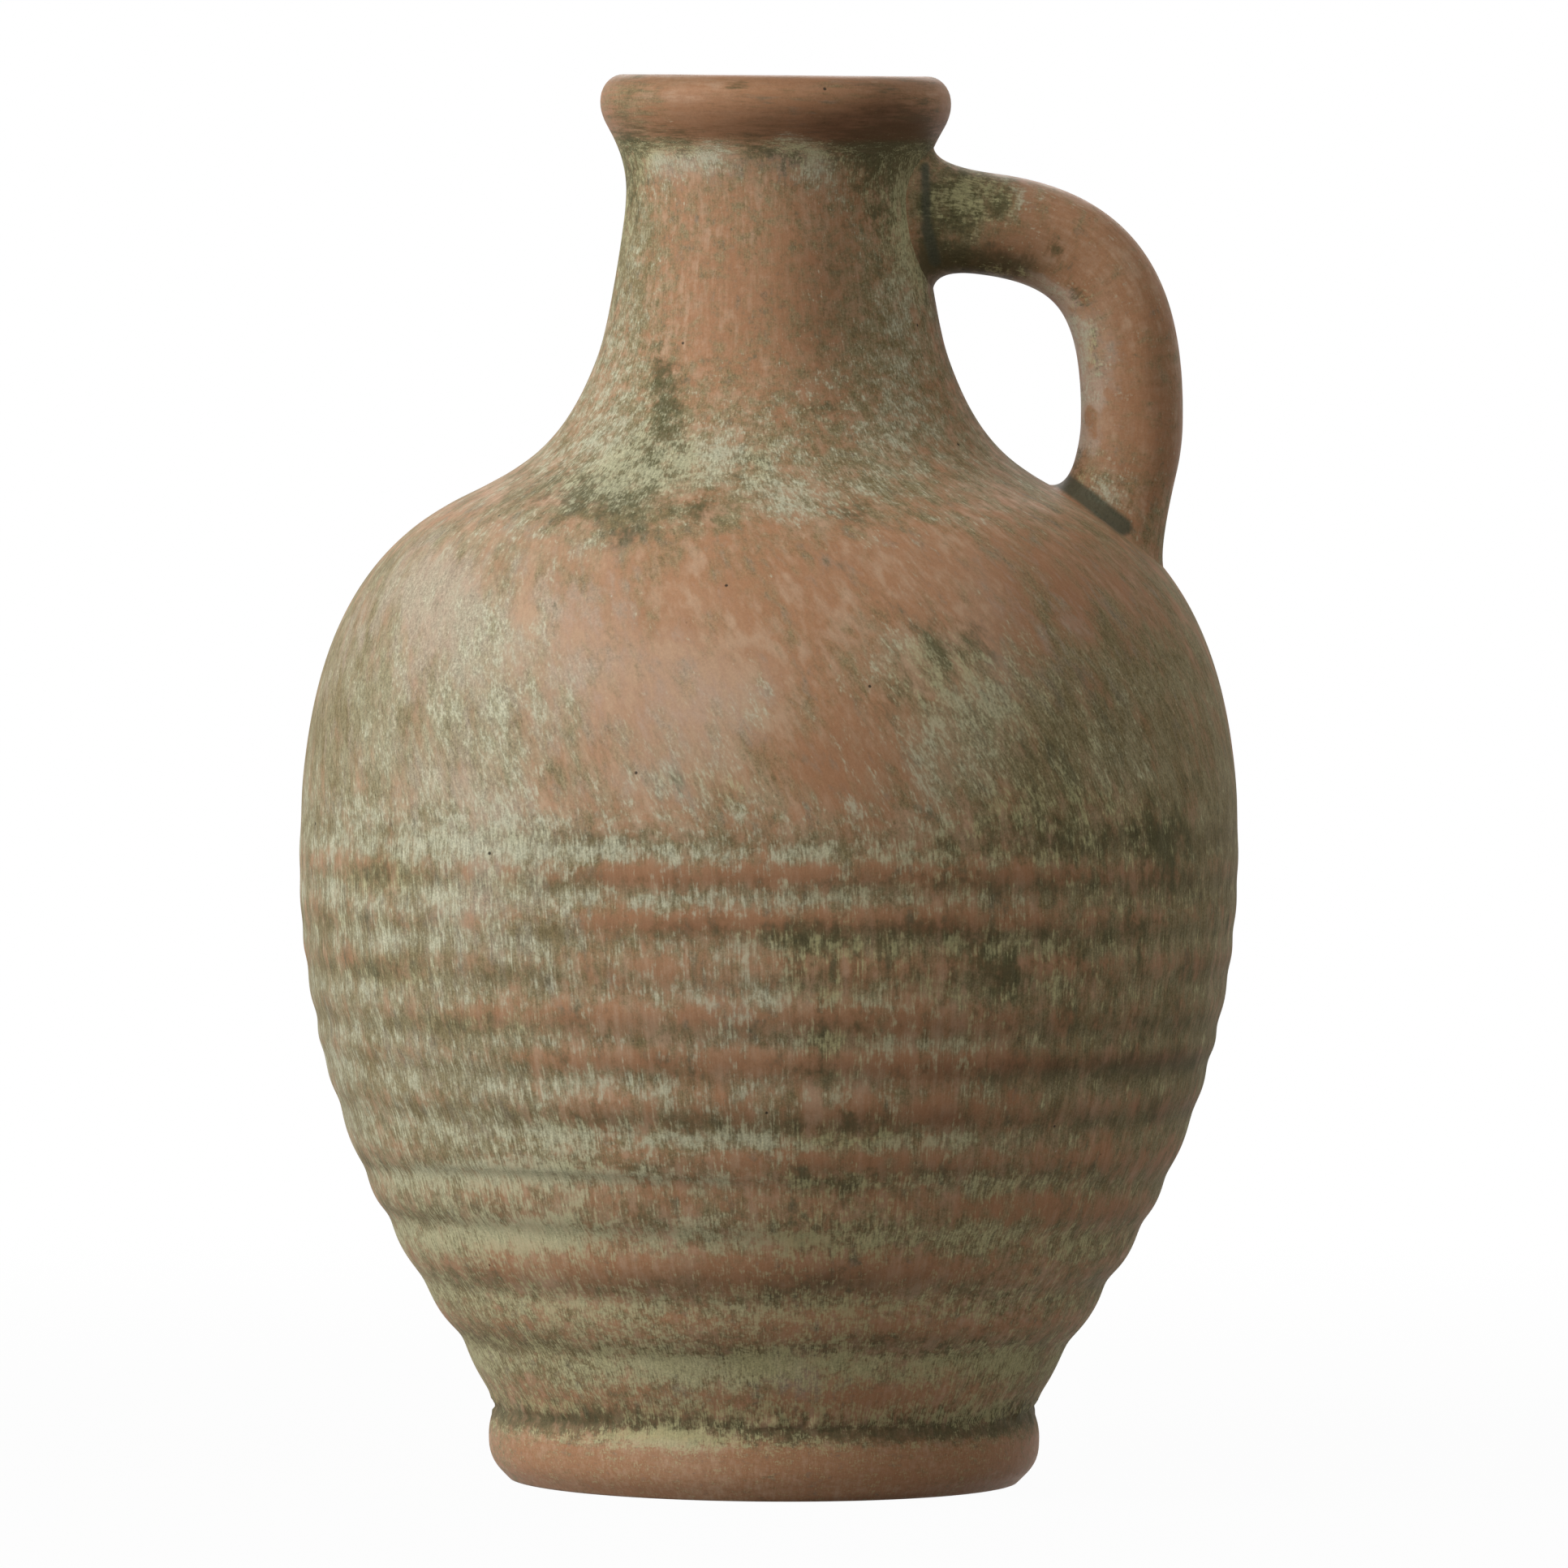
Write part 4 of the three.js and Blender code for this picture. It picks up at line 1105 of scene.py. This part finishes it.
def clay_material():
    """Bare clay, with each paint and the painted shade laid over the ones before it."""
    material = bpy.data.materials.new("painted_clay")
    material.use_nodes = True
    tree = material.node_tree
    add = Nodes(tree)
    spot = add.scaled(add.make("TexCoord", {}).outputs["Object"], 1 / MM)
    stroke = add.field("strokes", "Vector")
    patch_path, bristle_path = (
        add.make("VectorMath", {0: stroke, 1: (1, 1, 1 / stretch)}, operation="MULTIPLY").outputs[0]
        for stretch in (PATCH_STRETCH, BRISTLE_STRETCH)
    )
    patterns = {**add.noises(patch_path, "patch"), **add.noises(patch_path, "fine")}
    for name, path in (("big", spot), ("bristle", bristle_path), ("sweep", bristle_path), ("grain", spot)):
        patterns[name] = add.noise(path, name).outputs["Fac"]

    def cover(name):
        """Share of a place that a paint covers: its field, broken up by its patterns."""
        shares, contrast, softness = COVERS[name]
        uneven = add.math("SUBTRACT", add.blend(shares, patterns), 0.5)
        uneven = add.math("MULTIPLY", uneven, contrast)
        return add.between(add.math("ADD", add.field(name), uneven), 0.5 - softness, 0.5 + softness)

    def coat(name, share, under, paint):
        return add.mix(add.math("MULTIPLY", share, STRENGTHS[name]), under, paint)

    def unevenness(name, on_wash, on_clay):
        """A pattern around 0, stronger on the wash than on bare clay."""
        share = add.math("ADD", add.math("MULTIPLY", wash, on_wash), on_clay)
        return add.math("MULTIPLY", add.math("SUBTRACT", patterns[name], 0.5), share)

    clay = add.mix(add.between(add.blend(CLAY_TONE, patterns), *CLAY_TONE_RANGE), CLAY_DUSTY, CLAY)
    color = coat("red", cover("red"), clay, add.mix(patterns["fine_a"], CLAY_DEEP, CLAY))
    wash = cover("wash")
    olive = add.mix(add.between(add.blend(OLIVE_TONE, patterns), *OLIVE_TONE_RANGE), OLIVE_DEEP, OLIVE)
    color = coat("wash", wash, color, olive)
    color = coat("haze", cover("haze"), color, HAZE)
    color = coat("dark", cover("dark"), color, GRIME)
    # Painted shade, deep red-brown where the clay is red
    shade = add.math("MULTIPLY", add.field("shade"), add.math("ADD", patterns["patch_a"], SHADE_LEAST), True)
    shade_tint = add.mix(add.between(add.field("red"), *SHADE_ON_RED_RANGE), SHADE, SHADE_ON_RED)
    color = coat("shade", shade, color, shade_tint)
    pale = cover("pale")
    moss = add.field("moss")
    veil = add.math("SUBTRACT", VEIL, add.math("MULTIPLY", moss, VEIL_LESS_MOSS))
    color = add.mix(add.math("MULTIPLY", pale, veil), color, add.mix(moss, SAGE, MOSS_VEIL))
    color = coat("fleck", cover("fleck"), color, add.mix(moss, SAGE_LIGHT, MOSS))
    # Painted shade and dark moss in the creases at the handle's ends
    color = coat("crease", add.field("crease"), color, SLATE)
    texture = add.math("ADD", unevenness("grain", *GRIT), unevenness("bristle", *HAIRS))
    color = add.scaled(color, add.math("ADD", texture, 1))
    pits = add.dots(spot, *PITS)
    color = coat("pit", pits, color, PIT_COLOR)
    color = coat("speck", add.dots(spot, *SPECKS), color, SPECK_COLOR)

    sockets = {**patterns, "wash": wash, "pale": pale, "pit": pits, "rub": add.field("rub")}
    roughness = add.math("ADD", add.blend(ROUGHNESS_SHARES, sockets), ROUGHNESS, True)
    relief = add.blend(RELIEF_SHARES, sockets)
    bump = add.make("Bump", {"Strength": RELIEF_STRENGTH, "Distance": RELIEF_HEIGHT, "Height": relief})
    surface = tree.nodes["Principled BSDF"]
    add.put(surface.inputs["Base Color"], color)
    add.put(surface.inputs["Roughness"], roughness)
    add.put(surface.inputs["Specular IOR Level"], SPECULAR)
    add.put(surface.inputs["Normal"], bump.outputs["Normal"])
    return material


pieces = {**body_pieces(paint_body()), **handle_pieces(paint_handle())}
material = clay_material()


# Stage, light and camera

CAMERA_PLACE = Vector((0.0029, -3.08, 0.280))
CAMERA_TARGET = Vector((0.0029, 0, 0.1389))
CAMERA_LENS = 355
CAMERA_ROLL = math.radians(0.5)
CAMERA_REACH = 60
FLOOR_HALF = 9.0
FLOOR_COLOR = (0.45, 0.45, 0.45, 1)
WHITE = (1, 1, 1, 1)
FLOOR_GLOW = 0.97
GLOW_START = 0.2
GLOW_END = 0.7
AMBIENT = 0.182
AMBIENT_COLOR = (1, 0.9, 0.76, 1)
# Lamps: turn round the jug, rise, distance, size and power
KEY = (math.radians(-63), math.radians(28), 2.6, 1.3, 58)
OVERHEAD = (math.radians(55), math.radians(62), 2.4, 1.6, 13)
BACK = (math.radians(180), math.radians(28), 2.6, 1.2, 19)


def emptied(owner):
    """A short way to add nodes to a new world or material that starts with none."""
    owner.use_nodes = True
    owner.node_tree.nodes.clear()
    return Nodes(owner.node_tree)


def seen_directly(add):
    """1 for rays that show the backdrop: from the camera, in reflections and through glass."""
    rays = add.make("LightPath", {}).outputs
    outside = add.math("MAXIMUM", rays["Is Camera Ray"], rays["Is Glossy Ray"])
    return add.math("MAXIMUM", outside, rays["Is Transmission Ray"])


def make_world():
    """Soft light from all around, and a white backdrop."""
    world = bpy.data.worlds.new("studio")
    bpy.context.scene.world = world
    add = emptied(world)
    soft = add.make("Background", {"Color": AMBIENT_COLOR, "Strength": AMBIENT})
    shown = add.make("Background", {"Color": WHITE, "Strength": 1})
    mix = add.make("MixShader", {"Fac": seen_directly(add), 1: soft.outputs[0], 2: shown.outputs[0]})
    add.make("OutputWorld", {"Surface": mix.outputs[0]})


def make_floor():
    """A pale floor that fades to white away from the jug."""
    sides = ((-1, -1), (1, -1), (1, 1), (-1, 1))
    mesh = bpy.data.meshes.new("floor")
    mesh.from_pydata([(x * FLOOR_HALF, y * FLOOR_HALF, 0) for x, y in sides], [], [(0, 1, 2, 3)])
    floor = put_in_scene("floor", mesh)
    material = bpy.data.materials.new("pale_floor")
    add = emptied(material)
    paint = add.make("BsdfDiffuse", {"Color": FLOOR_COLOR})
    glow = add.make("Emission", {"Color": WHITE, "Strength": 1})
    place = add.make("TexCoord", {}).outputs["Object"]
    distance = add.make("VectorMath", {0: place}, operation="LENGTH").outputs["Value"]
    share = add.math("MULTIPLY", seen_directly(add), add.between(distance, GLOW_START, GLOW_END, FLOOR_GLOW))
    mix = add.make("MixShader", {"Fac": share, 1: paint.outputs[0], 2: glow.outputs[0]})
    add.make("OutputMaterial", {"Surface": mix.outputs[0]})
    mesh.materials.append(material)


def add_lamp(name, turn, rise, distance, size, power):
    """A square soft box that faces the middle of the jug; turn 0 is at the camera and grows to the right."""
    middle = (cad_low + cad_high) / 2
    data = bpy.data.lights.new(name, "AREA")
    data.shape = "SQUARE"
    data.size = size
    data.energy = power
    lamp = put_in_scene(name, data)
    away = Vector((math.sin(turn) * math.cos(rise), -math.cos(turn) * math.cos(rise), math.sin(rise)))
    lamp.location = middle + away * distance
    lamp.rotation_mode = "QUATERNION"
    lamp.rotation_quaternion = away.to_track_quat("Z", "Y")


def make_camera():
    """The camera that sees the front."""
    data = bpy.data.cameras.new("camera")
    data.lens = CAMERA_LENS
    data.clip_end = CAMERA_REACH
    camera = put_in_scene("camera", data)
    back = (CAMERA_PLACE - CAMERA_TARGET).normalized()
    turn = back.to_track_quat("Z", "Y").to_matrix().to_4x4() @ Matrix.Rotation(CAMERA_ROLL, 4, "Z")
    camera.matrix_world = Matrix.Translation(CAMERA_PLACE) @ turn
    bpy.context.scene.camera = camera


make_world()
make_floor()
add_lamp("key", *KEY)
add_lamp("overhead", *OVERHEAD)
add_lamp("back", *BACK)
make_camera()
bpy.context.scene.view_settings.view_transform = "Standard"

for node, piece in pieces.items():
    piece.data.materials.append(material)
    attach(piece, "root")
    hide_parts(node)
